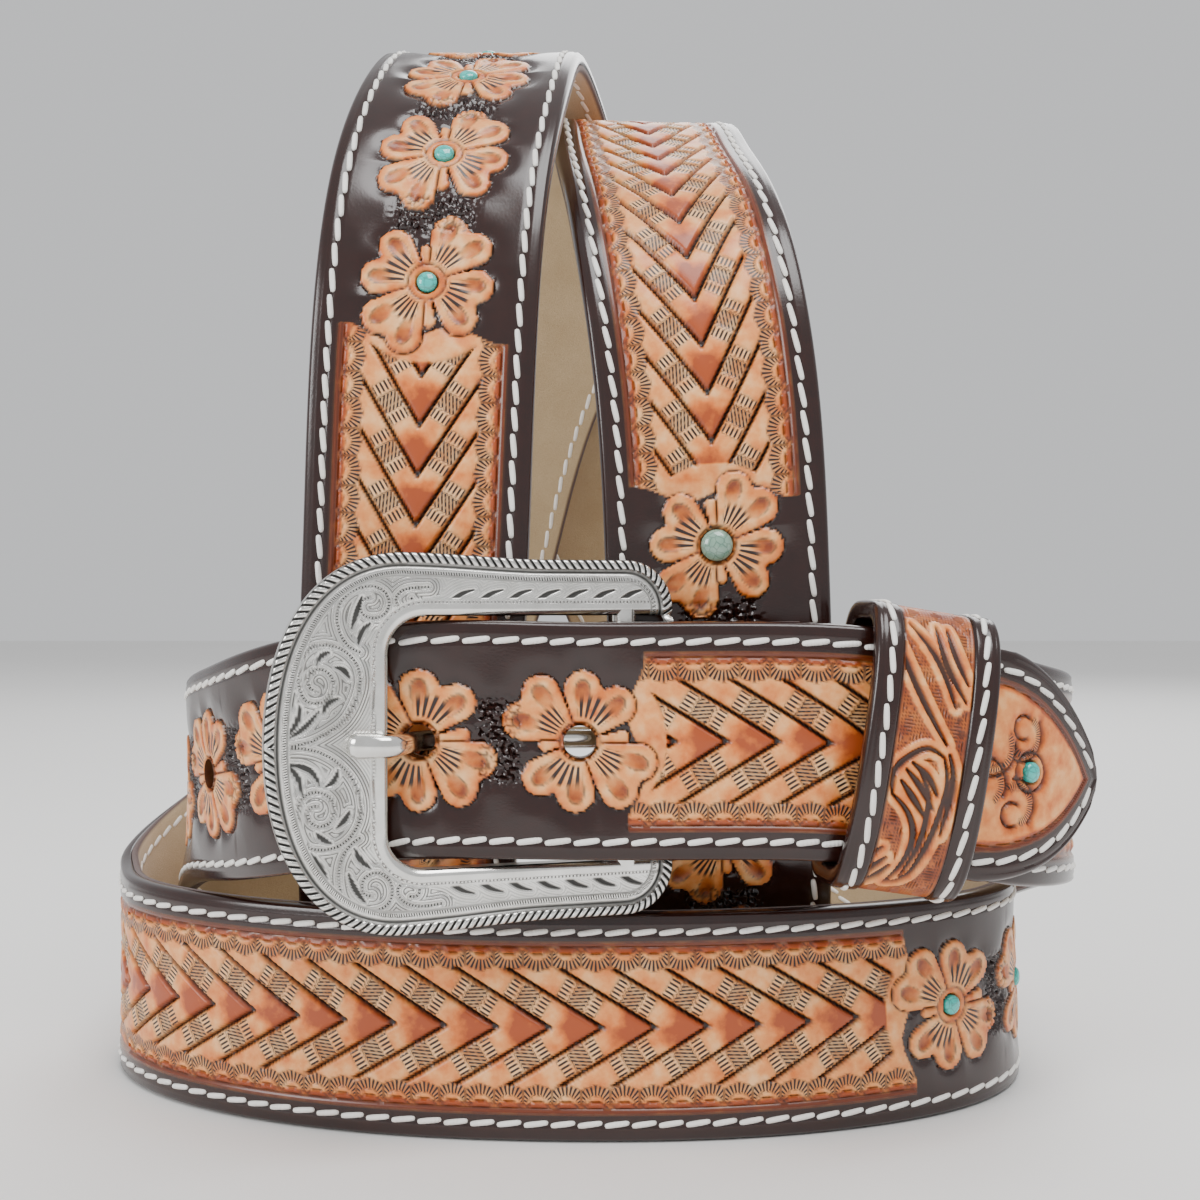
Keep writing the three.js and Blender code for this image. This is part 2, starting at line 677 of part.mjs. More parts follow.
// Rivet through both chape layers: head sunk in the face, domed cap on the return.
function rivetProfile(grow) {
  const face = STRAP_THICKNESS + LAYER_GAP;
  const back = 2 * STRAP_THICKNESS + 2 * LAYER_GAP + CHAPE_THICKNESS;
  const head = face + RIVET_HEAD_THICKNESS + grow;
  const post = RIVET_POST_RADIUS + grow;
  const cap = back + SEAT_CLEARANCE;
  return { face, head, post, cap };
}

function rivetGeometry() {
  const { face, head, post, cap } = rivetProfile(0);
  const profile = [[0, face + 0.1], [RIVET_HEAD_RADIUS, face + 0.1], [RIVET_HEAD_RADIUS, head],
    [post, head], [post, cap], [RIVET_CAP_RADIUS, cap], [RIVET_CAP_RADIUS, cap + 0.4 * RIVET_CAP_RISE],
    [RIVET_CAP_RADIUS * 0.6, cap + RIVET_CAP_RISE], [0, cap + RIVET_CAP_RISE]];
  return new THREE.LatheGeometry(profile.map(([x, y]) => new THREE.Vector2(x, y)), 14);
}

function rivetBore(x) {
  const { face, head, post, cap } = rivetProfile(SEAT_CLEARANCE);
  const wide = RIVET_HEAD_RADIUS + SEAT_CLEARANCE;
  const bore = new THREE.CylinderGeometry(post, post, cap + 1 - face, 12);
  bore.translate(x, (cap + 1 + face) / 2, BUCKLE_Z);
  const sink = new THREE.CylinderGeometry(wide, wide, head - face + LAYER_GAP / 2, 12);
  sink.translate(x, (head + face - LAYER_GAP / 2) / 2, BUCKLE_Z);
  return solidFrom(bore).add(solidFrom(sink));
}

const rivetPlaces = [0, 1].map((i) => RIVET_FIRST_X + i * RIVET_PITCH);

function strapSolid() {
  let strap = strapBody();
  const through = STRAP_THICKNESS;
  for (let i = 0; i < HOLE_COUNT; i += 1) {
    const hole = drill(freeHoleLength - i * HOLE_PITCH, HOLE_RADIUS, -through, through);
    strap = strap.subtract(solidFrom(hole));
  }
  strap = strap.subtract(solidFrom(tongueRod(TONGUE_RADIUS + TONGUE_CLEARANCE, 18)));
  strap = strap.subtract(tongueSlot());
  rivetPlaces.forEach((x) => {
    strap = strap.subtract(rivetBore(x));
  });
  stonePlaces().forEach(({ radius, length }) => {
    const top = STRAP_THICKNESS / 2;
    const seat = drill(length, radius + SEAT_CLEARANCE, top - STONE_SEAT_DEPTH, top + 1);
    strap = strap.subtract(solidFrom(seat));
  });
  return strap;
}

const belt = new THREE.Group();
belt.add(leatherMesh("strap", geometryOf(strapSolid())));
belt.add(keeperMesh());
belt.add(place(metalMesh("buckle_frame", geometryOf(buckleFrame()))));
belt.add(metalMesh("buckle_tongue", geometryOf(tongueBody())));
rivetPlaces.forEach((x, i) => {
  const rivet = metalMesh(`chape_rivet_${i + 1}`, rivetGeometry());
  rivet.position.set(x, 0, BUCKLE_Z);
  belt.add(rivet);
});
stonePlaces().forEach((stone) => belt.add(stoneMesh(stone)));

// Origin: middle of the whole belt, on the surface that it stands on.
belt.updateMatrixWorld(true);
const box = new THREE.Box3().setFromObject(belt, true);
const middle = box.getCenter(new THREE.Vector3());
belt.position.set(-middle.x, -middle.y, -box.min.z);
belt.updateMatrixWorld(true);

export default belt;
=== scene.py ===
# Tooled western belt standing as a coil: leather, lining, stitches, stones, keeper and buckle.
import math

import bmesh
import bpy
import numpy as np
from mathutils import Matrix, Vector


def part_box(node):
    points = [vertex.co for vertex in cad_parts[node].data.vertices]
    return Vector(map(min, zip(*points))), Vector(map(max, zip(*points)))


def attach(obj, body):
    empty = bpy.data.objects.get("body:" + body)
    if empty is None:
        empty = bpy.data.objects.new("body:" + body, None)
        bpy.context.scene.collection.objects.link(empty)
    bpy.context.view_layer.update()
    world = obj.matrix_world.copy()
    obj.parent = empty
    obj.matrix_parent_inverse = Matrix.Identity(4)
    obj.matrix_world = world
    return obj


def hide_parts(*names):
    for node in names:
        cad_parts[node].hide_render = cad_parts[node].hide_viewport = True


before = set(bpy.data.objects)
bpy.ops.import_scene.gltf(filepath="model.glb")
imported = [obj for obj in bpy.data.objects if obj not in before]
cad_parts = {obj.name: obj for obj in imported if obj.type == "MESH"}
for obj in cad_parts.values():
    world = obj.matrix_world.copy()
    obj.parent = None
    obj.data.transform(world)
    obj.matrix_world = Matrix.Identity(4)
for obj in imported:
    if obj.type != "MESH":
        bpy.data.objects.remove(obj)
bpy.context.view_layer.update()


# Camera: level, straight on to the buckle, as far in front of it as the photograph's perspective
# asks. The buckle's rivet tells where the strap's own zero lies in the frame.
MM = 0.001
RIVET_X = 18.0
BUCKLE_Z = 67.5
FRONT_FACE_Y = 4.8
rivet_low, rivet_high = (np.array(corner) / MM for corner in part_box("chape_rivet_1"))
rivet_middle = (rivet_low + rivet_high) / 2
strap_zero = np.array([
    rivet_middle[0] - RIVET_X,
    rivet_low[1] - FRONT_FACE_Y,
    rivet_middle[2] - BUCKLE_Z,
])
CAMERA_DISTANCE = 238.0
CAMERA_HEIGHT = 90.0
CAMERA_FIELD = 43.6
camera_data = bpy.data.cameras.new("camera")
camera_data.angle = math.radians(CAMERA_FIELD)
camera_data.clip_start = 0.01
camera = bpy.data.objects.new("camera", camera_data)
bpy.context.scene.collection.objects.link(camera)
camera.location = (strap_zero + [0, -CAMERA_DISTANCE, CAMERA_HEIGHT]) * MM
camera.rotation_euler = (math.pi / 2, 0, 0)
bpy.context.scene.camera = camera


# Floor: a plain pale sheet that runs far behind the belt, matt, laid flat.
def colour(code):
    """sRGB hex to the linear colour that a shader takes."""
    parts = [int(code[i:i + 2], 16) / 255 for i in (1, 3, 5)]
    linear = [c / 12.92 if c <= 0.04045 else ((c + 0.055) / 1.055) ** 2.4 for c in parts]
    return (*linear, 1.0)


def add(tree, kind, inputs=None, **settings):
    """Add a node with its settings; inputs are sockets to link or values to set."""
    new = tree.nodes.new(kind)
    for name, value in settings.items():
        setattr(new, name, value)
    for key, value in (inputs or {}).items():
        if isinstance(value, bpy.types.NodeSocket):
            tree.links.new(value, new.inputs[key])
        else:
            new.inputs[key].default_value = value
    return new


def mixed(tree, share, first, second):
    """A node that mixes two colours by a share; outputs[2] is their mix."""
    return add(tree, "ShaderNodeMix", {0: share, 6: first, 7: second}, data_type="RGBA")


def mesh_from(name, bm):
    """A mesh with what the bmesh holds, which is freed."""
    mesh = bpy.data.meshes.new(name)
    bm.to_mesh(mesh)
    bm.free()
    return mesh


def new_material(name):
    """A material with its principled shader, and the node tree to build in."""
    material = bpy.data.materials.new(name)
    material.use_nodes = True
    tree = material.node_tree
    return material, tree, tree.nodes["Principled BSDF"]


def object_from(name, bm, material, smooth=True, sharp=None):
    """A mesh object at the origin from a bmesh in millimetres."""
    bmesh.ops.scale(bm, vec=(MM, MM, MM), verts=bm.verts)
    mesh = mesh_from(name, bm)
    piece = bpy.data.objects.new(name, mesh)
    bpy.context.scene.collection.objects.link(piece)
    mesh.materials.append(material)
    if smooth:
        mesh.shade_smooth()
        if sharp:
            mesh.set_sharp_from_angle(angle=math.radians(sharp))
    return piece


backdrop, tree, shader = new_material("matt_backdrop")
grain = add(tree, "ShaderNodeTexNoise", {"Scale": 9.0, "Detail": 2.0})
tint = mixed(tree, grain.outputs["Fac"], colour("#e9e8e6"), colour("#f1f0ee"))
tree.links.new(tint.outputs[2], shader.inputs["Base Color"])
shader.inputs["Roughness"].default_value = 0.7
FLOOR_SIZE = 6000.0
bm = bmesh.new()
bmesh.ops.create_grid(bm, x_segments=1, y_segments=1, size=FLOOR_SIZE / 2)
bmesh.ops.translate(bm, vec=(0, 0, -0.05), verts=bm.verts)
floor = object_from("floor", bm, backdrop, smooth=False)


# Light: a bright even room with a large soft box over the camera and a smaller one from the left,
# so that the dyed leather shows broad grey reflections and the tooling casts short shadows.
world = bpy.data.worlds.new("pale_room")
world.use_nodes = True
world.node_tree.nodes["Background"].inputs["Color"].default_value = colour("#f4f5f7")
world.node_tree.nodes["Background"].inputs["Strength"].default_value = 0.78
bpy.context.scene.world = world
LIGHT_TARGET = (0.0, 0.0, 0.09)
SOFT_BOXES = [
    # name, x, y, z in metres, width, power
    ("soft_box_top", 0.25, -0.5, 1.15, 0.7, 12.0),
    ("soft_box_left", -0.9, -0.7, 0.5, 0.5, 7.0),
    ("soft_box_back", 0.3, 0.9, 0.9, 0.8, 8.0),
]
for name, x, y, z, width, power in SOFT_BOXES:
    lamp = bpy.data.lights.new(name, "AREA")
    lamp.shape = "SQUARE"
    lamp.size = width
    lamp.energy = power
    holder = bpy.data.objects.new(name, lamp)
    bpy.context.scene.collection.objects.link(holder)
    holder.location = (x, y, z)
    aim = Vector(LIGHT_TARGET) - holder.location
    holder.rotation_euler = aim.to_track_quat("-Z", "Y").to_euler()


# Route of the strap: the leather's middle line and the way its tooled face looks, row by row, as
# it is coiled by hand: chape, upper coil, right arch, lower coil, left arch, buckle and tip.
STRAP_WIDTH = 38.0
STRAP_THICKNESS = 4.0
TIP_LENGTH = 31.0
TIP_BLUNT = 2.4
CHAPE_THICKNESS = 2.4
CHAPE_RETURN_LENGTH = 29.0
SKIVE_LENGTH = 20.0
COIL_HALF_WIDTH = 90.0
COIL_DEPTH = 125.0
ARCH_HEIGHT = 200.0
LAYER_GAP = 0.7
HEEL_BAR_X = 4.0
HEEL_BAR_RADIUS = 2.0
BAR_CLEARANCE = 0.3
BAR_Y = STRAP_THICKNESS + LAYER_GAP + CHAPE_THICKNESS + BAR_CLEARANCE + HEEL_BAR_RADIUS
FRONT_LAP = [
    # x, y, z, widths, faceX, faceY, faceZ
    [0.31, 0, 0.0525, 1.5, 0, -1, 0],
    [0.44, 0.003, 0.05, 1.5, 0.04, -1, 0],
    [0.56, 0.011, 0.043, 1.5, 0.14, -1, 0],
    [0.69, 0.034, 0.032, 1.5, 0.33, -1, 0],
    [0.81, 0.084, 0.02, 1.5, 0.62, -0.78, 0],
]
COILS = [
    # x, y, z, widths, faceX, faceY, faceZ
    [0.935, 0.272, 0.003, 1.5, 0.95, -0.3, 0],
    [0.978, 0.44, -0.015, 1.5, 1, 0.15, 0],
    [0.972, 0.64, -0.05, 1.5, 0.9, 0.45, -0.15],
    [0.85, 0.824, -0.105, 1.5, 0.55, 0.8, -0.4],
    [0.63, 0.892, 0.02, 0.5, 0.2, 0.7, -0.7],
    [0.44, 0.84, 0.05, 0, -0.15, 0.35, -1],
    [0.335, 0.69, 0.0165, 0, -0.05, 0.05, -1],
    [0.295, 0.56, 0.011, 0, 0, 0, -1],
    [0.278, 0.43, 0.0145, 0, 0, -0.1, -1],
    [0.25, 0.265, 0.075, 0, 0, -0.85, -0.5],
    [0.239, 0.192, 0.19, 0, 0, -1, -0.15],
    [0.231, 0.131, 0.325, 0, 0, -1, -0.05],
    [0.22, 0.118, 0.485, 0, 0, -1, 0],
    [0.199, 0.127, 0.64, 0, 0, -1, 0.08],
    [0.167, 0.174, 0.747, 0, 0, -0.93, 0.35],
    [0.139, 0.275, 0.822, 0, 0, -0.7, 0.7],
    [0.111, 0.43, 0.889, 0, 0, -0.45, 0.9],
    [0.083, 0.6, 0.938, 0, 0, 0.1, 1],
    [0.033, 0.724, 0.905, 0, 0, 0.7, 0.7],
    [-0.078, 0.808, 0.815, 0, 0, 1, 0.35],
    [-0.211, 0.856, 0.69, 0, 0, 1, 0.1],
    [-0.289, 0.872, 0.575, 0, 0, 1, 0],
    [-0.367, 0.888, 0.45, 0, -0.05, 1, -0.05],
    [-0.511, 0.888, 0.33, 0, -0.25, 0.9, -0.35],
    [-0.711, 0.832, 0.23, 0, -0.5, 0.6, -0.55],
    [-0.911, 0.704, 0.15, 0, -0.75, 0.4, -0.45],
    [-1.033, 0.512, 0.005, 0.5, -1, 0.15, -0.05],
    [-0.955, 0.33, 0, 0.5, -0.8, -0.6, 0],
    [-0.667, 0.172, 0, 0.5, -0.3, -1, 0],
    [-0.078, 0.084, 0, 0.5, 0, -1, 0],
    [0.489, 0.136, 0, 0.5, 0.25, -1, 0],
    [0.811, 0.288, 0, 0.5, 0.75, -0.65, 0],
    [0.878, 0.464, 0.005, 0.5, 1, 0.1, 0],
    [0.822, 0.64, 0.04, 0.5, 0.85, 0.5, -0.3],
    [0.656, 0.8, 0.105, 0.5, 0.55, 0.8, -0.45],
    [0.422, 0.928, 0.28, 0, 0.35, 0.95, -0.4],
    [0.211, 0.988, 0.375, 0, 0.15, 1, -0.2],
    [0.083, 1, 0.49, 0, 0, 1, 0],
    [0.011, 0.984, 0.59, 0, 0, 1, 0.05],
    [-0.05, 0.944, 0.71, 0, 0, 1, 0.15],
    [-0.111, 0.864, 0.84, 0, 0, 0.9, 0.4],
    [-0.183, 0.72, 0.95, 0, 0, 0.55, 0.8],
    [-0.24, 0.54, 0.9915, 0, 0, 0, 1],
    [-0.268, 0.337, 0.94, 0, 0, -0.7, 0.7],
    [-0.307, 0.165, 0.815, 0, 0, -0.95, 0.3],
    [-0.33, 0.1, 0.655, 0, 0, -1, 0.1],
    [-0.343, 0.09, 0.485, 0, -0.05, -1, 0],
    [-0.36, 0.106, 0.31, 0, -0.08, -1, -0.05],
    [-0.375, 0.185, 0.18, 0, -0.04, -1, -0.22],
    [-0.383, 0.258, 0.064, 0, 0, -0.8, -0.6],
    [-0.4, 0.384, 0.013, 0, 0, -0.1, -1],
    [-0.445, 0.49, 0.034, 0, 0.2, 0.15, -1],
    [-0.544, 0.57, 0.088, 0, 0.3, 0.6, -0.75],
    [-0.678, 0.6, 0.148, 0, 0, 1, -0.3],
    [-0.806, 0.54, 0.215, 0, -0.6, 0.8, 0],
    [-0.862, 0.424, -0.022, 1.5, -1, 0.05, 0],
    [-0.745, 0.21, 0.012, 1.5, -0.75, -0.65, 0],
    [-0.556, 0.055, 0.037, 1.5, -0.45, -0.9, 0],
    [-0.36, 0.002, 0.052, 1.5, -0.05, -1, 0],
    [-0.056, 0, 0.0525, 1.5, 0, -1, 0],
]
TIP_POINT = [0.94, 0.166, 0.01, 1.5, 0.75, -0.65, 0]


def route_row(row, inward=0.0):
    x, y, z, widths = row[:4]
    face = np.array(row[4:], float)
    face /= np.linalg.norm(face)
    place = np.array([
        x * COIL_HALF_WIDTH,
        y * COIL_DEPTH + STRAP_THICKNESS / 2,
        z * ARCH_HEIGHT + widths * STRAP_WIDTH,
    ])
    return np.concatenate([place - inward * face, face])


def chape_rows():
    fold = HEEL_BAR_RADIUS + BAR_CLEARANCE + CHAPE_THICKNESS / 2
    return_y = 2 * STRAP_THICKNESS + 2 * LAYER_GAP + CHAPE_THICKNESS / 2
    rows = [
        [HEEL_BAR_X + share * CHAPE_RETURN_LENGTH, return_y, BUCKLE_Z, 0, 1, 0]
        for share in (1, 0.66, 0.36)
    ]
    for step in range(7):
        angle = math.pi / 2 + step * math.pi / 6
        x, y = math.cos(angle), math.sin(angle)
        rows.append([HEEL_BAR_X + fold * x, BAR_Y + fold * y, BUCKLE_Z, x, y, 0])
    skived = 0.45
    thick = CHAPE_THICKNESS + skived * (STRAP_THICKNESS - CHAPE_THICKNESS)
    front_y = STRAP_THICKNESS + LAYER_GAP + thick / 2
    rows.append([HEEL_BAR_X + skived * SKIVE_LENGTH, front_y, BUCKLE_Z, 0, -1, 0])
    return rows


rows = np.array(
    chape_rows()
    + [route_row(row, STRAP_THICKNESS + LAYER_GAP) for row in FRONT_LAP]
    + [route_row(row) for row in COILS]
    + [route_row(row) for row in FRONT_LAP]
    + [route_row(TIP_POINT)]
)
chords = np.linalg.norm(np.diff(rows[:, :3], axis=0), axis=1)
knots = np.concatenate([[0], np.cumsum(chords)])


def natural_spline(knots, rows, at):
    """Values at the given knots' positions of a natural cubic spline through the rows."""
    count = len(knots)
    gaps = np.diff(knots)
    matrix = np.eye(count)
    right = np.zeros_like(rows)
    slopes = np.diff(rows, axis=0) / gaps[:, None]
    for i in range(1, count - 1):
        matrix[i, i - 1:i + 2] = gaps[i - 1], 2 * (gaps[i - 1] + gaps[i]), gaps[i]
        right[i] = 6 * (slopes[i] - slopes[i - 1])
    bends = np.linalg.solve(matrix, right)
    i = np.clip(np.searchsorted(knots, at) - 1, 0, count - 2)
    span = gaps[i][:, None]
    b = (at - knots[i])[:, None] / span
    a = 1 - b
    return (a * rows[i] + b * rows[i + 1]
            + span ** 2 / 6 * ((a ** 3 - a) * bends[i] + (b ** 3 - b) * bends[i + 1]))


KNOT_STEP = 0.25
knot_samples = np.arange(0, knots[-1], KNOT_STEP)
route_values = natural_spline(knots, rows, knot_samples)
steps = np.linalg.norm(np.diff(route_values[:, :3], axis=0), axis=1)
route_lengths = np.concatenate([[0], np.cumsum(steps)])
BELT_LENGTH = route_lengths[-1]
route_along = np.gradient(route_values[:, :3], knot_samples, axis=0)
route_along /= np.linalg.norm(route_along, axis=1)[:, None]
route_face = route_values[:, 3:]
route_face = route_face - (route_face * route_along).sum(1)[:, None] * route_along
route_face /= np.linalg.norm(route_face, axis=1)[:, None]
route_across = np.cross(route_along, route_face)
fold_end = knots[len(chape_rows()) - 2]
skive_share = np.clip((knot_samples - fold_end) / SKIVE_LENGTH, 0, 1)
route_thickness = CHAPE_THICKNESS + skive_share * (STRAP_THICKNESS - CHAPE_THICKNESS)


def along_route(table, length):
    """Rows of a route table at belt lengths."""
    if table.ndim == 1:
        return np.interp(length, route_lengths, table)
    return np.stack([np.interp(length, route_lengths, column) for column in table.T], axis=1)


def bend(flat):
    """Points laid flat as belt length, across and out, bent along the route, in millimetres."""
    length = np.clip(flat[:, 0], 0, BELT_LENGTH)
    out = flat[:, 2] * along_route(route_thickness, length) / STRAP_THICKNESS
    bent = along_route(route_values[:, :3], length)
    bent += along_route(route_across, length) * flat[:, 1:2]
    bent += along_route(route_face, length) * out[:, None]
    return bent + strap_zero


def length_at_x(x):
    """Belt length at which the billet passes a given x."""
    near_end = route_lengths > BELT_LENGTH - 250
    order = np.argsort(route_values[near_end, 0])
    return float(np.interp(x, route_values[near_end, 0][order], route_lengths[near_end][order]))


# Tooling of the outer leather: dyed borders, a basketweave of arrows with hatched and roped
# stamps, fan stamps along the tan edges, and panels of two-lobed flowers round holes and stones,
# each pressed into the damp leather with its own stamp and stained dark in the cuts. A painted
# shadow darkens the ground just outside each flower's petals.
HOLE_PITCH = 25.4
HOLE_COUNT = 5
HOLE_RADIUS = 2.6
HOLE_TO_WINDOW = 5.0
WINDOW_LENGTH = 39.4
FRAME_CLEARANCE = 0.6
FRAME_THICKNESS = 3.4
STONE_RADIUS = 1.7
DOME_STONE_RADIUS = 2.7
STONE_TO_TIP = 19.0
HALF_WIDTH = STRAP_WIDTH / 2
TIP_ARCH_HEIGHT = HALF_WIDTH - TIP_BLUNT
TIP_ARCH_RADIUS = (TIP_LENGTH ** 2 + TIP_ARCH_HEIGHT ** 2) / (2 * TIP_ARCH_HEIGHT)
TIP_ARCH_START = BELT_LENGTH - TIP_LENGTH
PETALS = [
    # angle, half angle between lobes, reach
    (146.0, 15.5, 12.9),
    (66.0, 21.5, 11.3),
    (-35.0, 15.5, 12.9),
    (-115.0, 21.5, 11.3),
]
BUDS = [
    # angle, reach
    (6.0, 8.0),
    (186.0, 6.6),
]
buckle_lean = math.asin((BAR_Y + FRAME_CLEARANCE + FRAME_THICKNESS / 2) / WINDOW_LENGTH)
window_edge_x = HEEL_BAR_X - WINDOW_LENGTH * math.cos(buckle_lean)
free_hole = length_at_x(window_edge_x + HOLE_TO_WINDOW) + HOLE_PITCH
hole_lengths = [free_hole - i * HOLE_PITCH for i in range(HOLE_COUNT)]
PANELS = [
    # name, flowers, stone radius, share of the belt's length of the first flower
    ("right_arch", 4, DOME_STONE_RADIUS, 0.1953),
    ("back_swoop", 4, STONE_RADIUS, 0.36),
    ("lower_coil", 4, STONE_RADIUS, 0.5363),
    ("left_arch", 4, STONE_RADIUS, 0.7109),
]
flowers = [(length, HOLE_RADIUS) for length in hole_lengths]
panel_spans = [(hole_lengths[-1], hole_lengths[0])]
for _, count, radius, share in PANELS:
    first = share * BELT_LENGTH
    flowers += [(first + i * HOLE_PITCH, radius) for i in range(count)]
    panel_spans.append((first, first + (count - 1) * HOLE_PITCH))
ARROW_TURN = 0.36 * BELT_LENGTH
TIP_PANEL = 41.0
STITCH_INSET = 3.1
ARROW_ROWS = [
    # belt length from which the row holds, length of one arrow's tip, pitch
    (0.0, 451.2, 8.27),
    (750.0, 896.6, 8.73),
    (1150.0, 1372.1, 8.35),
    (1600.0, 1726.0, 8.25),
]


def rise(x, low, high):
    """Smooth step from 0 at low to 1 at high."""
    t = np.clip((x - low) / (high - low), 0, 1)
    return t * t * (3 - 2 * t)


def hump(x, middle, half):
    """1 at the middle, falling smoothly to 0 at half a width from it."""
    return 1 - rise(np.abs(x - middle), 0, half)


def round_cone(x, y, length, near, far):
    """Distance to a tapered capsule that lies along x from 0 to a length."""
    slope = (near - far) / length
    lean = math.sqrt(1 - slope * slope)
    y = np.abs(y)
    k = -slope * y + lean * x
    side = lean * y + slope * x - near
    return np.where(k < 0, np.hypot(x, y) - near,
                    np.where(k > lean * length, np.hypot(x - length, y) - far, side))


def smooth_min(a, b, blend):
    h = np.clip(0.5 + 0.5 * (b - a) / blend, 0, 1)
    return b * (1 - h) + a * h - blend * h * (1 - h)


def half_width(length):
    """Half the strap's width at a belt length: full, then the pointed arch of the tip."""
    from_tip = np.maximum(BELT_LENGTH - length, 0)
    reach = np.clip(TIP_LENGTH - from_tip, 0, TIP_LENGTH)
    arch = np.sqrt(TIP_ARCH_RADIUS ** 2 - reach ** 2) - TIP_ARCH_RADIUS + TIP_ARCH_HEIGHT
    nose = np.minimum(from_tip / TIP_BLUNT, 1)
    pointed = arch + TIP_BLUNT * np.sqrt(nose * (2 - nose)) + 0.3
    return np.where(from_tip >= TIP_LENGTH, HALF_WIDTH, np.minimum(pointed, HALF_WIDTH))


def edge_distance(length, across):
    """Distance in from the strap's edge, the tip's arch included."""
    straight = HALF_WIDTH - np.abs(across)
    past = length - TIP_ARCH_START
    from_middle = np.hypot(past, np.abs(across) + TIP_ARCH_RADIUS - TIP_ARCH_HEIGHT)
    arc = TIP_ARCH_RADIUS + TIP_BLUNT - from_middle
    return np.where(past > 0, np.minimum(arc, straight), straight)


def cell_noise(x, y, size, seed):
    """Distance to the nearest crack between jittered cells, as a share of their size."""
    x, y = x / size, y / size
    ix, iy = np.floor(x), np.floor(y)
    first = np.full(x.shape, 9.0)
    second = np.full(x.shape, 9.0)
    for dx in (-1, 0, 1):
        for dy in (-1, 0, 1):
            cx, cy = ix + dx, iy + dy
            jitter = np.sin(cx * 127.1 + cy * 311.7 + seed) * 43758.5453
            other = np.sin(cx * 269.5 + cy * 183.3 + seed) * 24634.6345
            px = cx + 0.15 + 0.7 * (jitter - np.floor(jitter))
            py = cy + 0.15 + 0.7 * (other - np.floor(other))
            gap = np.hypot(x - px, y - py)
            second = np.minimum(second, np.maximum(first, gap))
            first = np.minimum(first, gap)
    return second - first


MARK_NAMES = ("height", "dye", "stain_and_shade", "warm", "stroke", "phase")


class Tooling:
    """Height, colour marks and fine strokes pressed into a leather face, point by point."""

    def __init__(self, count):
        self.height = np.zeros(count)
        self.dye = np.zeros(count)
        # Darkening: stain or blackening in the cuts, plus painted shade where the marks add it.
        self.stain_and_shade = np.zeros(count)
        self.warm = np.full(count, 0.35)
        self.stroke = np.zeros(count)
        self.phase = np.zeros(count)

    def cut(self, depth, share, stain_and_shade=1.0):
        """Press a cut where share is 1, and leave stain in it."""
        self.height = np.minimum(self.height, -depth * share)
        self.stain_and_shade = np.maximum(self.stain_and_shade, stain_and_shade * share)

    def hatch(self, phase, share):
        """Fine dark strokes, one for each whole step of the phase."""
        self.phase = np.where(share > self.stroke, phase, self.phase)
        self.stroke = np.maximum(self.stroke, share)


def basketweave(tool, u, pitch, across, inside):
    """Arrow basketweave: long cuts that meet in points, with a hatched, roped and hatched stamp."""
    lean = math.radians(31.7)
    side = np.abs(across)
    lane = (u + side / math.tan(lean)) / pitch
    part = lane - np.floor(lane)
    out = part * pitch * math.sin(lean)
    wide = pitch * math.sin(lean)
    to_bar = np.minimum(out, wide - out)
    tip = np.floor(lane) * pitch
    along = -(u - tip) * math.cos(lean) + side * math.sin(lean)
    reach = inside * (1 - rise(side, 9.6, 10.1))
    middle = along - 5.85
    stamp = reach * (1 - rise(np.abs(middle), 3.6, 3.85)) * rise(to_bar, 0.35, 0.6)
    rope = 1 - rise(np.abs(middle), 1.5, 1.65)
    edge = hump(np.abs(middle), 1.75, 0.3)
    tool.height -= stamp * (0.18 + 0.2 * rope) * (1 - edge)
    tool.stain_and_shade = np.maximum(tool.stain_and_shade, stamp * rope * 0.4 * (1 - edge))
    tool.hatch(out / 0.74, stamp * (1 - rope) * (1 - edge))
    rows_apart = np.abs(middle / 1.1 - np.rint(middle / 1.1))
    roped = stamp * rope * (1 - edge) * (1 - 0.7 * rise(rows_apart, 0.36, 0.46))
    tool.hatch((out + 0.7 * middle) / 0.72, roped)
    bar = reach * (1 - rise(to_bar, 0.2, 0.5)) * (1 - rise(side, 9.9, 10.2))
    tool.cut(0.85, bar)
    pillow = np.sin(np.clip(part, 0, 1) * math.pi)
    tool.height -= inside * (1 - stamp) * 0.16 * (1 - pillow) * (1 - rise(side, 10, 11))
    tool.warm += inside * (0.75 * rise(-along, -1.4, 3.4) * (1 - stamp) - 0.25 * stamp)


def fan_border(tool, length, across, inside):
    """Fan stamps in a row along each tan edge, rays inwards from a raised arc."""
    pitch = 4.75
    step = length / pitch
    x = (step - np.floor(step) - 0.5) * pitch
    side = np.abs(across)
    y = 13.3 - side
    radius = np.hypot(x, y)
    angle = np.arctan2(x, y)
    fan = inside * rise(radius, 1.95, 2.1) * (1 - rise(radius, 3.75, 3.95))
    fan *= (1 - rise(np.abs(angle), 1.35, 1.42))
    tool.height -= fan * 0.32 * (1 - 0.6 * rise(radius, 2.0, 3.9))
    tool.hatch(angle / 0.215, fan)
    tool.stain_and_shade = np.maximum(tool.stain_and_shade, fan * 0.3)
    dome = np.hypot(x / 1.75, (y - 0.1) / 0.95)
    tool.cut(0.5, inside * hump(dome, 1.05, 0.22) * (y > 0), 0.8)
    tool.warm += inside * 0.45 * (1 - rise(dome, 0.8, 1.0))


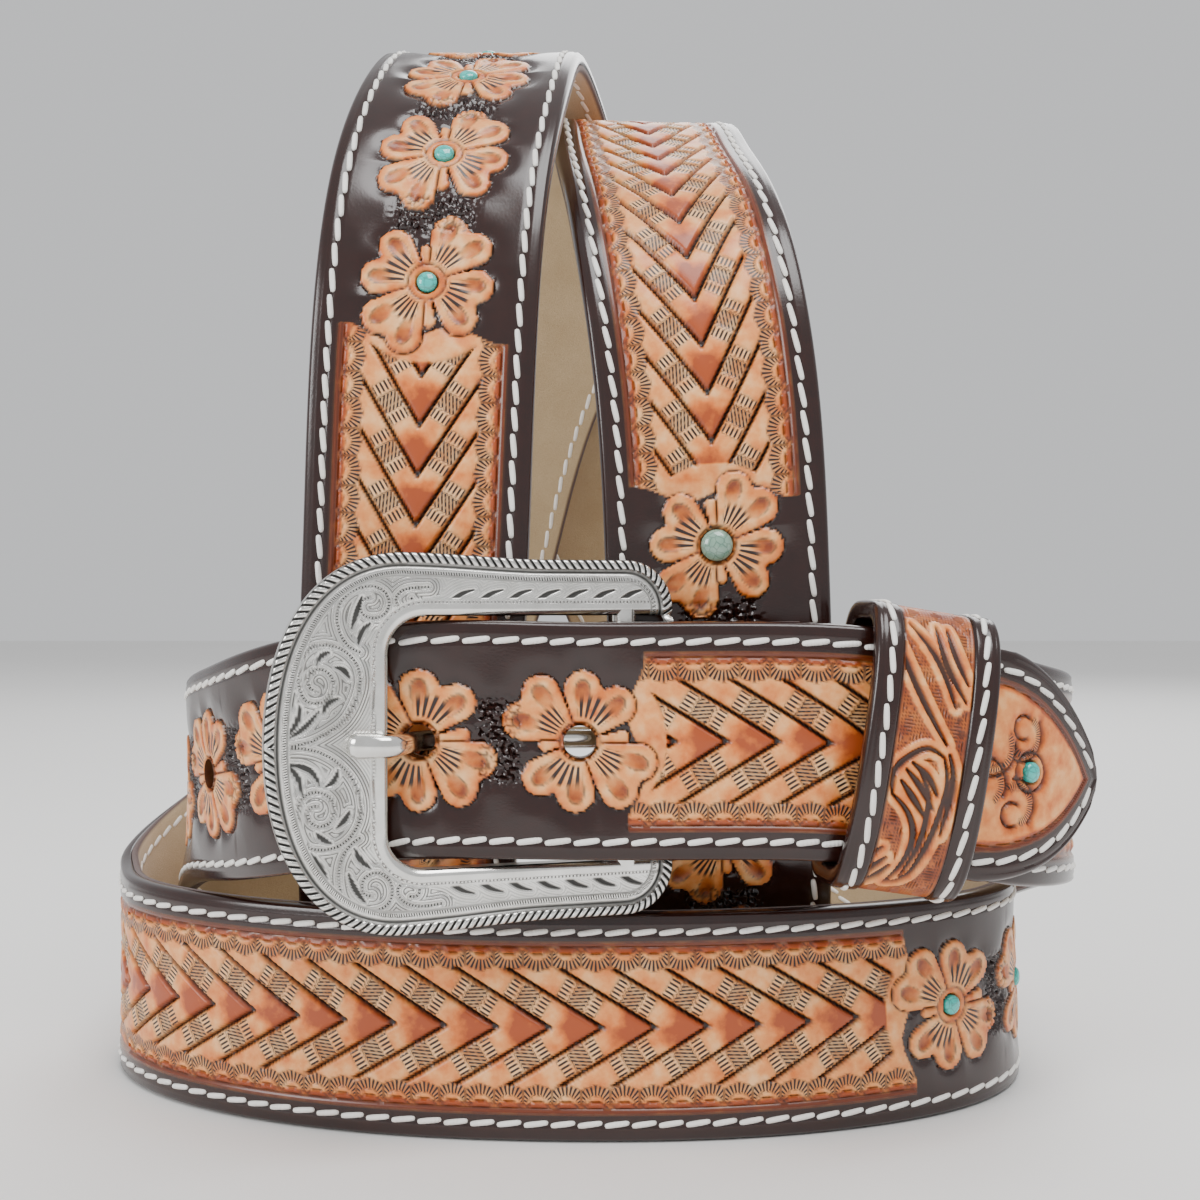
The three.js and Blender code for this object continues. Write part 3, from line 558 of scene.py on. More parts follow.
def flower(tool, x, y, eye):
    """A flower of two-lobed petals round an eye; returns how far each point is outside it."""
    radius = np.hypot(x, y)
    angle = np.degrees(np.arctan2(y, x))
    nearest = np.full(x.shape, 30.0)
    second = np.full(x.shape, 30.0)
    prints = np.zeros(x.shape)
    rims = np.zeros(x.shape)
    hollow = np.zeros(x.shape)
    for turn, spread, reach in PETALS:
        petal = None
        for side in (-1, 1):
            lean = math.radians(turn + side * spread)
            px = x * math.cos(lean) + y * math.sin(lean)
            py = -x * math.sin(lean) + y * math.cos(lean)
            lobe = round_cone(px - 2.0, py, reach - 5.0, 1.0, 3.0)
            petal = lobe if petal is None else smooth_min(petal, lobe, 1.6)
            middle = reach - 3.9
            length = (px - middle) / 2.45
            oval = np.hypot(length, py / (1.22 + 0.3 * np.clip(length, -1, 1)))
            inside = 1 - rise(oval, 0.8, 1.0)
            prints = np.maximum(prints, inside * np.clip(0.55 + 0.45 * length, 0, 1))
            hollow = np.maximum(hollow, np.sqrt(np.clip(1 - oval ** 2, 0, 1)) * (0.75 + 0.25 * length))
            rims = np.maximum(rims, hump(oval, 1.0, 0.16) * rise(length, -0.9, 0.2))
        second = np.minimum(second, np.maximum(nearest, petal))
        nearest = np.minimum(nearest, petal)
        swing = (angle - turn + 180) % 360 - 180
        spokes = 1 - rise(np.abs(swing), spread * 1.25, spread * 1.45)
        spokes *= rise(radius, 3.7, 4.0) * (1 - rise(radius, 7.4 - 0.06 * np.abs(swing), 8.1))
        tool.hatch(swing / (spread * 0.52), spokes)
        tool.height -= 0.16 * spokes
    for turn, reach in BUDS:
        lean = math.radians(turn)
        px = x * math.cos(lean) + y * math.sin(lean)
        py = -x * math.sin(lean) + y * math.cos(lean)
        bud = round_cone(px - 2.5, py, reach - 3.6, 0.5, 1.1)
        second = np.minimum(second, np.maximum(nearest, bud))
        tool.warm += 0.5 * (1 - rise(bud, -0.2, 0.2)) * (nearest > 0)
        nearest = np.minimum(nearest, bud)
    inside = 1 - rise(nearest, -0.1, 0.1)
    away = np.maximum(nearest, 0)
    near = np.exp(-away / 1.5) * (nearest > 0)
    tool.height -= near * 0.75
    # Painted shadow: a dark line just outside each petal's outline, where the bevelled ground dips.
    tool.stain_and_shade = np.maximum(tool.stain_and_shade, (1 - rise(away, 0.1, 0.5)) * (nearest > 0))
    tool.dye *= 1 - inside
    tool.warm = np.where(inside > 0.5, 0.12 + 0.5 * np.exp(nearest / 0.9), tool.warm)
    tool.height -= inside * 0.12 * np.exp(nearest / 0.6)
    tool.height = np.where(inside > 0.5, tool.height - 0.5 * hollow, tool.height)
    tool.warm += inside * prints * 0.8
    tool.stain_and_shade = np.maximum(tool.stain_and_shade, inside * (0.85 * rims + 0.42 * prints))
    seam = inside * (1 - rise(second - nearest, 0.15, 0.55)) * rise(radius, 3.2, 3.6)
    tool.cut(0.5, seam, 0.95)
    ring = 3.15 if eye < HOLE_RADIUS else eye + 0.55
    disc = 1 - rise(radius, ring - 0.1, ring + 0.1)
    tool.height = tool.height * (1 - disc) - 0.22 * disc
    tool.stroke *= 1 - disc
    tool.stain_and_shade *= 1 - disc
    tool.warm = tool.warm * (1 - disc) + 0.6 * disc
    tool.cut(0.45, hump(radius, ring, 0.35), 0.85)
    tool.cut(1.1, 1 - rise(radius, eye + 0.05, eye + 0.4), 0.9)
    return nearest


def scroll_arc(x, y, arc):
    """Distance to a drawn arc: middle x and y, radius, start and end angle in degrees."""
    mx, my, radius, start, end = arc
    middle = math.radians((start + end) / 2)
    half = math.radians(abs(end - start) / 2)
    turn = (np.arctan2(y - my, x - mx) - middle + math.pi) % (2 * math.pi) - math.pi
    on_arc = np.abs(np.hypot(x - mx, y - my) - radius)
    nearest_end = np.full(x.shape, 99.0)
    for sign in (-1, 1):
        ex = mx + radius * math.cos(middle + sign * half)
        ey = my + radius * math.sin(middle + sign * half)
        nearest_end = np.minimum(nearest_end, np.hypot(x - ex, y - ey))
    return np.where(np.abs(turn) < half, on_arc, nearest_end)


TIP_SCROLLS = [
    # middle x, middle y, radius, start, end in degrees, from the tip's stone
    (0.0, 0.0, 3.3, 0, 359),
    (-2.6, 5.6, 4.2, 255, 400),
    (-3.0, 7.0, 2.0, 60, 300),
    (-2.6, -5.6, 4.2, -40, 105),
    (-3.0, -7.4, 2.0, 60, 300),
    (-8.6, 2.8, 4.6, 250, 380),
    (-9.4, -3.2, 4.4, -20, 110),
    (-10.0, 0.0, 2.2, 80, 280),
]


def tip_scrolls(tool, x, y, inside):
    """Scrolls cut round the tip's stone, their hollows shaded with strokes."""
    near = np.full(x.shape, 99.0)
    for arc in TIP_SCROLLS:
        away = scroll_arc(x, y, arc)
        tool.cut(0.55, inside * (1 - rise(away, 0.12, 0.5)), 0.9)
        near = np.minimum(near, away)
        inner = arc[2] - np.hypot(x - arc[0], y - arc[1])
        shade = inside * rise(inner, 0.4, 0.6) * (1 - rise(inner, 1.6, 2.0)) * (arc[2] > 3.5)
        tool.hatch(np.arctan2(y - arc[1], x - arc[0]) / 0.13, shade * (away < 2.2))
    tool.warm += inside * 0.55 * np.exp(-near / 0.9)
    tool.height -= inside * 0.3 * np.exp(-near / 1.2)
    seat = np.hypot(x, y)
    tool.cut(1.1, inside * (1 - rise(seat, STONE_RADIUS + 0.05, STONE_RADIUS + 0.35)), 0.9)


def tool_strap(length, across):
    """Everything that is tooled and dyed on the strap's face at these points."""
    tool = Tooling(length.size)
    inset = edge_distance(length, across)
    arrow = np.where(length < ARROW_TURN, -1.0, 1.0)
    tan = rise(inset, 5.5, 5.7)
    floral = np.zeros(length.size)
    for first, last in panel_spans:
        ahead = 9.0 + 1.4 * np.sin(across * 0.35)
        begun = rise(length, first - ahead - 0.2, first - ahead)
        ended = rise(length, last + ahead, last + ahead + 0.2)
        floral = np.maximum(floral, begun * (1 - ended))
    tip = rise(length, BELT_LENGTH - TIP_PANEL, BELT_LENGTH - TIP_PANEL + 0.3)
    outside = np.full(length.size, 30.0)
    for middle, _ in flowers:
        near = np.abs(length - middle) < 15
        outside[near] = np.minimum(outside[near], np.hypot(length[near] - middle, across[near]) - 13.5)
    weave = tan * (1 - floral) * (1 - tip)
    row = np.searchsorted([first for first, _, _ in ARROW_ROWS], length, side="right") - 1
    tip_at = np.array([tip for _, tip, _ in ARROW_ROWS])[row]
    pitch = np.array([pitch for _, _, pitch in ARROW_ROWS])[row]
    basketweave(tool, arrow * (length - tip_at), pitch, across, weave * rise(outside, 0.2, 0.6))
    fan_border(tool, length, across, weave * rise(outside + 0.8, 0.2, 0.6))
    bevel = hump(inset, 5.15, 0.6) * (1 - floral)
    tool.dye = np.maximum(1 - tan - 0.4 * bevel, floral)
    wave = 0.08 * np.sin(length * 0.31) * np.cos(across * 0.5)
    tool.height += floral * wave
    crack = cell_noise(length + 0.35 * across, across, 1.15, 3.0)
    for middle, eye in flowers:
        near = np.abs(length - middle) < 16
        part = Tooling(int(near.sum()))
        for name in MARK_NAMES:
            setattr(part, name, getattr(tool, name)[near])
        x, y = length[near] - middle, -across[near]
        away = flower(part, x, y, eye)
        between = rise(np.abs(x), 7.5, 9) * (1 - rise(np.abs(y), 5.5, 8.5)) * floral[near]
        crackle = between * rise(away, 0.5, 0.9)
        part.height -= crackle * 0.34 * (1 - rise(crack[near], 0.05, 0.42))
        part.stain_and_shade = np.maximum(part.stain_and_shade, crackle * 0.8 * (1 - rise(crack[near], 0.04, 0.3)))
        for name in MARK_NAMES:
            getattr(tool, name)[near] = getattr(part, name)
    tip_scrolls(tool, length - (BELT_LENGTH - STONE_TO_TIP), -across, tan * tip)
    tool.cut(0.5, hump(inset, 5.7, 0.4) * (1 - floral), 0.75)
    tool.warm += 0.6 * hump(inset, 6.1, 0.6) * (1 - floral) + bevel
    tool.cut(0.18, hump(inset, 1.25, 0.3), 0.25)
    tool.cut(0.22, hump(inset, STITCH_INSET, 0.75), 0.3)
    return tool


# Outer leather: vegetable-tanned cowhide about 2.4 mm thick, tooled while damp, painted and
# finished with a clear gloss, its edges bevelled, rubbed and dyed. Made flat, then coiled.
OUTER_BACK = -0.45
EDGE_ROUND = [
    # in from the edge, out from the middle
    (1.3, 2.0),
    (0.75, 1.88),
    (0.3, 1.55),
    (0.06, 1.1),
    (0.0, 0.6),
    (0.0, 0.0),
    (0.12, -0.36),
]


def flat_band(start, end, step, columns):
    """A closed leather band laid flat: x is the belt length, y across, z out. Its face has
    evenly spaced columns, and its two edges and its back a few each."""
    half = STRAP_WIDTH / 2
    right = [(half - inset, out) for inset, out in EDGE_ROUND] + [(half - 0.5, OUTER_BACK)]
    left = [(-across, out) for across, out in reversed(right)]
    inner = half - EDGE_ROUND[0][0]
    face = [(across, STRAP_THICKNESS / 2) for across in np.linspace(-inner, inner, columns)[1:-1]]
    section = np.array(left + face + right + [(0.0, OUTER_BACK), left[0]])
    rows_needed = max(int(round((end - start) / step)), 2)
    bm = bmesh.new()
    bmesh.ops.create_grid(bm, x_segments=rows_needed, y_segments=len(section) - 1, size=0.5)
    points = np.array([vert.co[:] for vert in bm.verts])
    row = np.rint((points[:, 0] + 0.5) * rows_needed).astype(int)
    column = np.rint((points[:, 1] + 0.5) * (len(section) - 1)).astype(int)
    length = start + (end - start) * row / rows_needed
    narrow = half_width(length) / half
    points = np.stack([length, section[column, 0] * narrow, section[column, 1]], axis=1)
    return bm, points


def close_band(bm, points):
    """Put the points in place, weld the seam at the back and close the ends."""
    for vert, point in zip(bm.verts, points):
        vert.co = point
    bmesh.ops.remove_doubles(bm, verts=bm.verts, dist=1e-5)
    ends = [edge for edge in bm.edges if edge.is_boundary]
    bmesh.ops.holes_fill(bm, edges=ends, sides=0)
    bmesh.ops.recalc_face_normals(bm, faces=bm.faces)


def set_marks(mesh, marks):
    """Write per-point marks that the leather's material reads."""
    for name, values in marks.items():
        layer = mesh.attributes.new(name, "FLOAT", "POINT")
        layer.data.foreach_set("value", values.astype(np.float32))


leather, tree, shader = new_material("tooled_vegetable_tanned_leather")
place = add(tree, "ShaderNodeTexCoord").outputs["Object"]
dye = add(tree, "ShaderNodeAttribute", attribute_name="dye").outputs["Fac"]
stain_and_shade = add(tree, "ShaderNodeAttribute", attribute_name="stain_and_shade").outputs["Fac"]
warm = add(tree, "ShaderNodeAttribute", attribute_name="warm").outputs["Fac"]
stroke = add(tree, "ShaderNodeAttribute", attribute_name="stroke").outputs["Fac"]
phase = add(tree, "ShaderNodeAttribute", attribute_name="phase").outputs["Fac"]
# Oil tan mottling over about 3 mm, and the skin's grain of about 0.35 mm.
mottle = add(tree, "ShaderNodeTexNoise", {"Vector": place, "Scale": 330.0, "Detail": 4.0})
grain = add(tree, "ShaderNodeTexNoise", {"Vector": place, "Scale": 2800.0, "Detail": 2.0})
speckle = add(tree, "ShaderNodeMath", {0: mottle.outputs["Fac"], 1: 1.5}, operation="MULTIPLY")
speckle = add(tree, "ShaderNodeMath", {0: speckle.outputs[0], 1: 0.72}, operation="SUBTRACT")
warmth = add(tree, "ShaderNodeMath", {0: speckle.outputs[0], 1: warm}, operation="ADD", use_clamp=True)
oiled = add(tree, "ShaderNodeValToRGB", {"Fac": warmth.outputs[0]})
OILED_TAN = [(0.0, "#f8c084"), (0.35, "#ee9a52"), (0.7, "#d96f24"), (1.0, "#a2440f")]
ramp = oiled.color_ramp
ramp.elements[0].position, ramp.elements[0].color = OILED_TAN[0][0], colour(OILED_TAN[0][1])
ramp.elements[1].position, ramp.elements[1].color = OILED_TAN[-1][0], colour(OILED_TAN[-1][1])
for position, code in OILED_TAN[1:-1]:
    ramp.elements.new(position).color = colour(code)
dyed = mixed(tree, mottle.outputs["Fac"], colour("#1c0a06"), colour("#2e120c"))
painted = mixed(tree, dye, oiled.outputs["Color"], dyed.outputs[2])
# Darkened by antique stain in the cuts, and by painted shade outside the petals, in the holes, on the edges'
# back half and on the keeper's sides.
stained_and_shaded = mixed(tree, stain_and_shade, painted.outputs[2], colour("#1c0d09"))
# Fine strokes of the stamps: a dark line, a little over half as wide as its pitch.
turns = add(tree, "ShaderNodeMath", {0: phase, 1: 2 * math.pi}, operation="MULTIPLY")
wave = add(tree, "ShaderNodeMath", {0: turns.outputs[0]}, operation="COSINE")
line = add(tree, "ShaderNodeMapRange", {"Value": wave.outputs[0], 1: -0.35, 2: 0.35, 3: 0.0, 4: 1.0})
ink = add(tree, "ShaderNodeMath", {0: line.outputs[0], 1: stroke}, operation="MULTIPLY")
inked = mixed(tree, ink.outputs[0], stained_and_shaded.outputs[2], colour("#23110b"))
tree.links.new(inked.outputs[2], shader.inputs["Base Color"])
gloss = add(tree, "ShaderNodeMapRange", {"Value": dye, 1: 0.0, 2: 1.0, 3: 0.42, 4: 0.2})
tree.links.new(gloss.outputs[0], shader.inputs["Roughness"])
shader.inputs["IOR"].default_value = 1.5
shader.inputs["Coat Weight"].default_value = 0.25
shader.inputs["Coat Roughness"].default_value = 0.18
pressed = add(tree, "ShaderNodeBump", {"Height": ink.outputs[0], "Strength": 0.55, "Distance": 0.00018},
              invert=True)
pores = add(tree, "ShaderNodeBump", {
    "Height": grain.outputs["Fac"], "Strength": 0.16, "Distance": 0.0001,
    "Normal": pressed.outputs["Normal"]})
tree.links.new(pores.outputs["Normal"], shader.inputs["Normal"])

suede, tree, shader = new_material("brushed_pig_suede")
place = add(tree, "ShaderNodeTexCoord").outputs["Object"]
edge = add(tree, "ShaderNodeAttribute", attribute_name="edge").outputs["Fac"]
# Nap fibres of about 0.2 mm over brushed patches of about 8 mm.
nap = add(tree, "ShaderNodeTexNoise", {"Vector": place, "Scale": 4200.0, "Detail": 3.0})
brushed = add(tree, "ShaderNodeTexNoise", {"Vector": place, "Scale": 120.0, "Detail": 3.0})
fibre = mixed(tree, brushed.outputs["Fac"], colour("#b59d79"), colour("#d9c5a2"))
worn = mixed(tree, nap.outputs["Fac"], fibre.outputs[2], colour("#a58b66"))
dyed_edge = mixed(tree, edge, worn.outputs[2], colour("#43221a"))
tree.links.new(dyed_edge.outputs[2], shader.inputs["Base Color"])
shader.inputs["Roughness"].default_value = 0.85
shader.inputs["Sheen Weight"].default_value = 0.3
shader.inputs["Sheen Roughness"].default_value = 0.6
lift = add(tree, "ShaderNodeBump", {"Height": nap.outputs["Fac"], "Strength": 0.5, "Distance": 0.00025})
tree.links.new(lift.outputs["Normal"], shader.inputs["Normal"])


def laid_flat(name, start, end, step, section_columns):
    """A closed flat band as a mesh in millimetres, ready to be cut, tooled and bent."""
    bm, points = flat_band(start, end, step, section_columns)
    close_band(bm, points)
    return mesh_from(name, bm)


def punch(mesh, holes):
    """Cut round holes and slots through a flat mesh: middle length, half length, half width,
    where a half length of 0 stands for a round hole."""
    bm = bmesh.new()
    for middle, half_length, half in holes:
        if half_length:
            matrix = Matrix.Translation((middle, 0, 0)) @ Matrix.Diagonal(
                (2 * half_length, 2 * half, 4 * STRAP_THICKNESS, 1))
            bmesh.ops.create_cube(bm, size=1.0, matrix=matrix)
        else:
            bmesh.ops.create_cone(
                bm, cap_ends=True, segments=40, radius1=half, radius2=half,
                depth=4 * STRAP_THICKNESS, matrix=Matrix.Translation((middle, 0, 0)))
    cutter = bpy.data.objects.new("punch", mesh_from("punch", bm))
    blank = bpy.data.objects.new("blank", mesh)
    for thing in (cutter, blank):
        bpy.context.scene.collection.objects.link(thing)
    cut = blank.modifiers.new("punch", "BOOLEAN")
    cut.object = cutter
    cut.operation = "DIFFERENCE"
    cut.solver = "EXACT"
    graph = bpy.context.evaluated_depsgraph_get()
    punched = bpy.data.meshes.new_from_object(blank.evaluated_get(graph))
    for thing in (cutter, blank):
        bpy.data.objects.remove(thing)
    return punched


def read_points(mesh):
    points = np.empty(len(mesh.vertices) * 3, np.float32)
    mesh.vertices.foreach_get("co", points)
    return points.reshape(-1, 3).astype(float)


def write_points(mesh, points):
    mesh.vertices.foreach_set("co", (points * MM).astype(np.float32).ravel())
    mesh.update()


def leather_piece(name, mesh, material, sharp):
    """The finished mesh as a piece of the belt that rides with it."""
    mesh.materials.clear()
    mesh.materials.append(material)
    mesh.shade_smooth()
    mesh.set_sharp_from_angle(angle=math.radians(sharp))
    piece = bpy.data.objects.new(name, mesh)
    bpy.context.scene.collection.objects.link(piece)
    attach(piece, "root")
    return piece


FOLD_LENGTH = float(route_lengths[np.argmin(np.where(route_lengths < 80, route_values[:, 0], 99))])
SLOT = (FOLD_LENGTH, 7.5, 2.6)
fine = 1.0
STRAP_LENGTHS = [
    # name, start, end, step, face columns
    ("strap_upper_coil", 0.0, 330.0, 0.9, 42),
    ("strap_right_arch", 330.0, 545.0, 0.4, 92),
    ("strap_left_swoop", 545.0, 800.0, 0.9, 42),
    ("strap_lower_coil", 800.0, 1010.0, 0.4, 92),
    ("strap_back_swoop", 1010.0, 1240.0, 0.9, 42),
    ("strap_left_arch", 1240.0, 1440.0, 0.38, 96),
    ("strap_floor_bend", 1440.0, 1570.0, 0.9, 42),
    ("strap_billet", 1570.0, BELT_LENGTH, 0.36, 100),
]
for name, start, end, step, columns in STRAP_LENGTHS:
    mesh = laid_flat(name, start, end, step * fine, int(columns / fine))
    holes = [(middle, 0, HOLE_RADIUS) for middle in hole_lengths if start < middle < end]
    if start < FOLD_LENGTH < end:
        holes.append(SLOT)
    if holes:
        mesh = punch(mesh, holes)
    flat = read_points(mesh)
    tool = tool_strap(flat[:, 0], flat[:, 1])
    on_face = flat[:, 2] > STRAP_THICKNESS / 2 - 0.02
    in_hole = np.zeros(len(flat), bool)
    for middle, _, radius in holes:
        in_hole |= np.hypot(flat[:, 0] - middle, flat[:, 1]) < radius + 0.05
    below = np.clip((STRAP_THICKNESS / 2 - flat[:, 2]) / 1.2, 0, 1)
    edge_shade = np.where(flat[:, 2] < 0, 0.35, 0.0) + 0.25 * hump(flat[:, 2], -0.3, 0.3)
    flat[:, 2] += np.where(on_face & ~in_hole, tool.height, 0)
    # Painted shade: the punched holes' walls are darkened, and edge_shade darkens the back half of the
    # strap's edges.
    set_marks(mesh, {
        "dye": np.where(below > 0, 1.0, tool.dye),
        "stain_and_shade": np.where(in_hole & (below > 0), 0.75, np.where(below > 0, edge_shade, tool.stain_and_shade)),
        "warm": tool.warm,
        "stroke": np.where(below > 0, 0.0, tool.stroke),
        "phase": tool.phase,
    })
    write_points(mesh, bend(flat))
    piece = leather_piece(name, mesh, leather, 60)
    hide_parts("strap")


# Lining: split pig suede glued to the leather's back and trimmed flush with it, its edges dyed
# with the leather's; the nap is brushed and shows on the inside of every bend.
LINING_FRONT = -0.5
LINING_SECTION = [
    # in from the edge, out from the middle
    (0.14, LINING_FRONT),
    (0.05, -0.8),
    (0.06, -1.3),
    (0.3, -1.75),
    (0.9, -1.97),
    (2.6, -2.0),
    (9.0, -2.0),
]
LINING_STEP = 1.6
half = STRAP_WIDTH / 2
right = [(half - inset, out) for inset, out in LINING_SECTION]
section = np.array(right + [(-across, out) for across, out in reversed(right)] + [right[0]])
row_count = int(BELT_LENGTH / LINING_STEP)
bm = bmesh.new()
bmesh.ops.create_grid(bm, x_segments=row_count, y_segments=len(section) - 1, size=0.5)
points = np.array([vert.co[:] for vert in bm.verts])
row = np.rint((points[:, 0] + 0.5) * row_count).astype(int)
column = np.rint((points[:, 1] + 0.5) * (len(section) - 1)).astype(int)
length = 0.02 + (BELT_LENGTH - 0.04) * row / row_count
narrow = half_width(length) / half
close_band(bm, np.stack([length, section[column, 0] * narrow, section[column, 1]], axis=1))
mesh = mesh_from("strap_lining", bm)
mesh = punch(mesh, [(middle, 0, HOLE_RADIUS + 0.1) for middle in hole_lengths] + [SLOT])
flat = read_points(mesh)
inset = edge_distance(flat[:, 0], flat[:, 1])
set_marks(mesh, {"edge": 1 - rise(inset, 0.35, 0.9)})
write_points(mesh, bend(flat))
lining = leather_piece("strap_lining", mesh, suede, 50)
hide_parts("strap")


# Stitching: waxed white thread, nearly six stitches to the inch, in a shallow groove round the strap;
# each stitch dives into its holes and lies a little askew, as a lockstitch pulled tight does.
thread, tree, shader = new_material("waxed_braided_nylon_thread")
place = add(tree, "ShaderNodeTexCoord").outputs["Object"]
# Braid of about 0.3 mm, soiled in patches of about 4 mm.
braid = add(tree, "ShaderNodeTexWave", {"Vector": place, "Scale": 520.0, "Distortion": 3.0})
soil = add(tree, "ShaderNodeTexNoise", {"Vector": place, "Scale": 260.0})
white = mixed(tree, soil.outputs["Fac"], colour("#fdfcf9"), colour("#e6e0d6"))
tree.links.new(white.outputs[2], shader.inputs["Base Color"])
shader.inputs["Roughness"].default_value = 0.5
lift = add(tree, "ShaderNodeBump", {"Height": braid.outputs["Fac"], "Strength": 0.35, "Distance": 0.0001})
tree.links.new(lift.outputs["Normal"], shader.inputs["Normal"])

STITCH_PITCH = 4.45
STITCH_SKEW = 8.0
STITCH_LENGTH = 4.15
STITCH_WIDTH = 1.0
STITCH_HEIGHT = 0.8
FACE_SEGMENTS = 8
BACK_SEGMENTS = 6


def row_of_stitches(skew, segments):
    """Stitches one after another along x, as long as one edge of the strap to its tip."""
    bm = bmesh.new()
    bmesh.ops.create_uvsphere(bm, u_segments=segments, v_segments=segments, radius=0.5)
    for vert in bm.verts:
        reach = min(abs(2 * vert.co.z), 1)
        blunt = (1 - reach ** 4) ** 0.25 / max(math.sqrt(1 - reach ** 2), 1e-3)
        vert.co.x *= blunt
        vert.co.y *= blunt
    bmesh.ops.transform(bm, verts=bm.verts, matrix=(
        Matrix.Translation((STITCH_PITCH, 0, 0))
        @ Matrix.Rotation(math.radians(skew), 4, "Z")
        @ Matrix.Diagonal((STITCH_LENGTH, STITCH_WIDTH, STITCH_HEIGHT, 1))
        @ Matrix.Rotation(math.pi / 2, 4, "Y")))
    stitch = bpy.data.objects.new("stitch", mesh_from("stitch", bm))
    bpy.context.scene.collection.objects.link(stitch)
    repeat = stitch.modifiers.new("repeat", "ARRAY")
    repeat.use_relative_offset = False
    repeat.use_constant_offset = True
    repeat.constant_offset_displace = (STITCH_PITCH, 0, 0)
    repeat.count = int((BELT_LENGTH + 1) / STITCH_PITCH)
    graph = bpy.context.evaluated_depsgraph_get()
    row_mesh = bpy.data.meshes.new_from_object(stitch.evaluated_get(graph))
    bpy.data.objects.remove(stitch)
    return row_mesh


def along_edge(flat, inset, side):
    """Points of a straight row led along an edge of the strap and round the arch of its tip."""
    ring = TIP_ARCH_RADIUS + TIP_BLUNT - inset
    turn = np.maximum(flat[:, 0] - TIP_ARCH_START, 0) / ring
    beside = side * flat[:, 1]
    length = np.minimum(flat[:, 0], TIP_ARCH_START) + (ring + beside) * np.sin(turn)
    across = side * ((ring + beside) * np.cos(turn) - TIP_ARCH_RADIUS + TIP_ARCH_HEIGHT)
    return np.stack([length, across, flat[:, 2]], axis=1)


STITCH_ROWS = [
    # name, out from the strap's middle, skew, segments of each stitch
    ("strap_face_stitches", STRAP_THICKNESS / 2 - 0.08, -STITCH_SKEW, FACE_SEGMENTS),
    ("strap_back_stitches", -STRAP_THICKNESS / 2 + 0.1, STITCH_SKEW, BACK_SEGMENTS),
]
for name, out, skew, segments in STITCH_ROWS:
    for side in (-1, 1):
        mesh = row_of_stitches(skew, segments)
        flat = along_edge(read_points(mesh), STITCH_INSET, side)
        flat[:, 2] += out
        write_points(mesh, bend(flat))
        leather_piece(f"{name}_{'lower' if side < 0 else 'upper'}", mesh, thread, 60)


# Stones: small turquoise cabochons and four domed sea-green ones, set in the flowers' eyes. Each is
# a polished dome with fine dark veins, its profile turned round its seat's axis.
def stone_material(name, light, deep, vein):
    material, tree, shader = new_material(name)
    place = add(tree, "ShaderNodeTexCoord").outputs["Object"]
    cloud = add(tree, "ShaderNodeTexNoise", {"Vector": place, "Scale": 900.0, "Detail": 4.0})
    web = add(tree, "ShaderNodeTexVoronoi", {"Vector": place, "Scale": 760.0}, feature="DISTANCE_TO_EDGE")
    body = mixed(tree, cloud.outputs["Fac"], colour(light), colour(deep))
    thin = add(tree, "ShaderNodeMapRange", {
        "Value": web.outputs["Distance"], 1: 0.0, 2: 0.07, 3: 0.55, 4: 0.0})
    veined = mixed(tree, thin.outputs[0], body.outputs[2], colour(vein))
    tree.links.new(veined.outputs[2], shader.inputs["Base Color"])
    shader.inputs["Roughness"].default_value = 0.12
    shader.inputs["IOR"].default_value = 1.61
    shader.inputs["Coat Weight"].default_value = 0.5
    return material


turquoise = stone_material("stabilised_turquoise", "#39d0c4", "#1fa79f", "#3a4a3a")
sea_green = stone_material("sea_green_agate", "#9db8a4", "#5f8a78", "#38584c")
STONE_FOOT = -0.9
STONE_PROFILE = [
    # share of the radius, share of the rise
    (0.0, 1.0),
    (0.3, 0.95),
    (0.56, 0.8),
    (0.78, 0.56),
    (0.93, 0.24),
    (1.0, -0.1),
]


def cabochon(name, length, radius, dome, material):
    """A domed stone standing in its seat at a belt length."""
    bm = bmesh.new()
    verts = [bm.verts.new((share * radius, 0, high * dome)) for share, high in STONE_PROFILE]
    verts.append(bm.verts.new((radius, 0, STONE_FOOT)))
    verts.append(bm.verts.new((0, 0, STONE_FOOT)))
    edges = [bm.edges.new(pair) for pair in zip(verts, verts[1:])]
    bmesh.ops.spin(bm, geom=verts + edges, cent=(0, 0, 0), axis=(0, 0, 1), angle=2 * math.pi,
                   steps=28, use_merge=True)
    bmesh.ops.remove_doubles(bm, verts=bm.verts, dist=1e-4)
    bmesh.ops.recalc_face_normals(bm, faces=bm.faces)
    at = np.array([length])
    frame_rows = [along_route(table, at)[0] for table in (route_along, route_across, route_face)]
    middle = along_route(route_values[:, :3], at)[0] + strap_zero
    top = middle + frame_rows[2] * along_route(route_thickness, at)[0] / 2
    matrix = Matrix([[*(axis[i] for axis in frame_rows), top[i]] for i in range(3)] + [[0, 0, 0, 1]])
    if matrix.determinant() < 0:
        matrix = matrix @ Matrix.Diagonal((1, -1, 1, 1))
    bmesh.ops.transform(bm, matrix=matrix, verts=bm.verts)
    stone = object_from(name, bm, material, sharp=60)
    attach(stone, "root")
    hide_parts(name)


for name, count, radius, share in PANELS:
    domed = radius == DOME_STONE_RADIUS
    for i in range(count):
        cabochon(
            f"stone_{name}_{i + 1}", share * BELT_LENGTH + i * HOLE_PITCH, radius,
            1.15 if domed else 0.65, sea_green if domed else turquoise)
cabochon("stone_tip", BELT_LENGTH - STONE_TO_TIP, STONE_RADIUS, 0.65, turquoise)


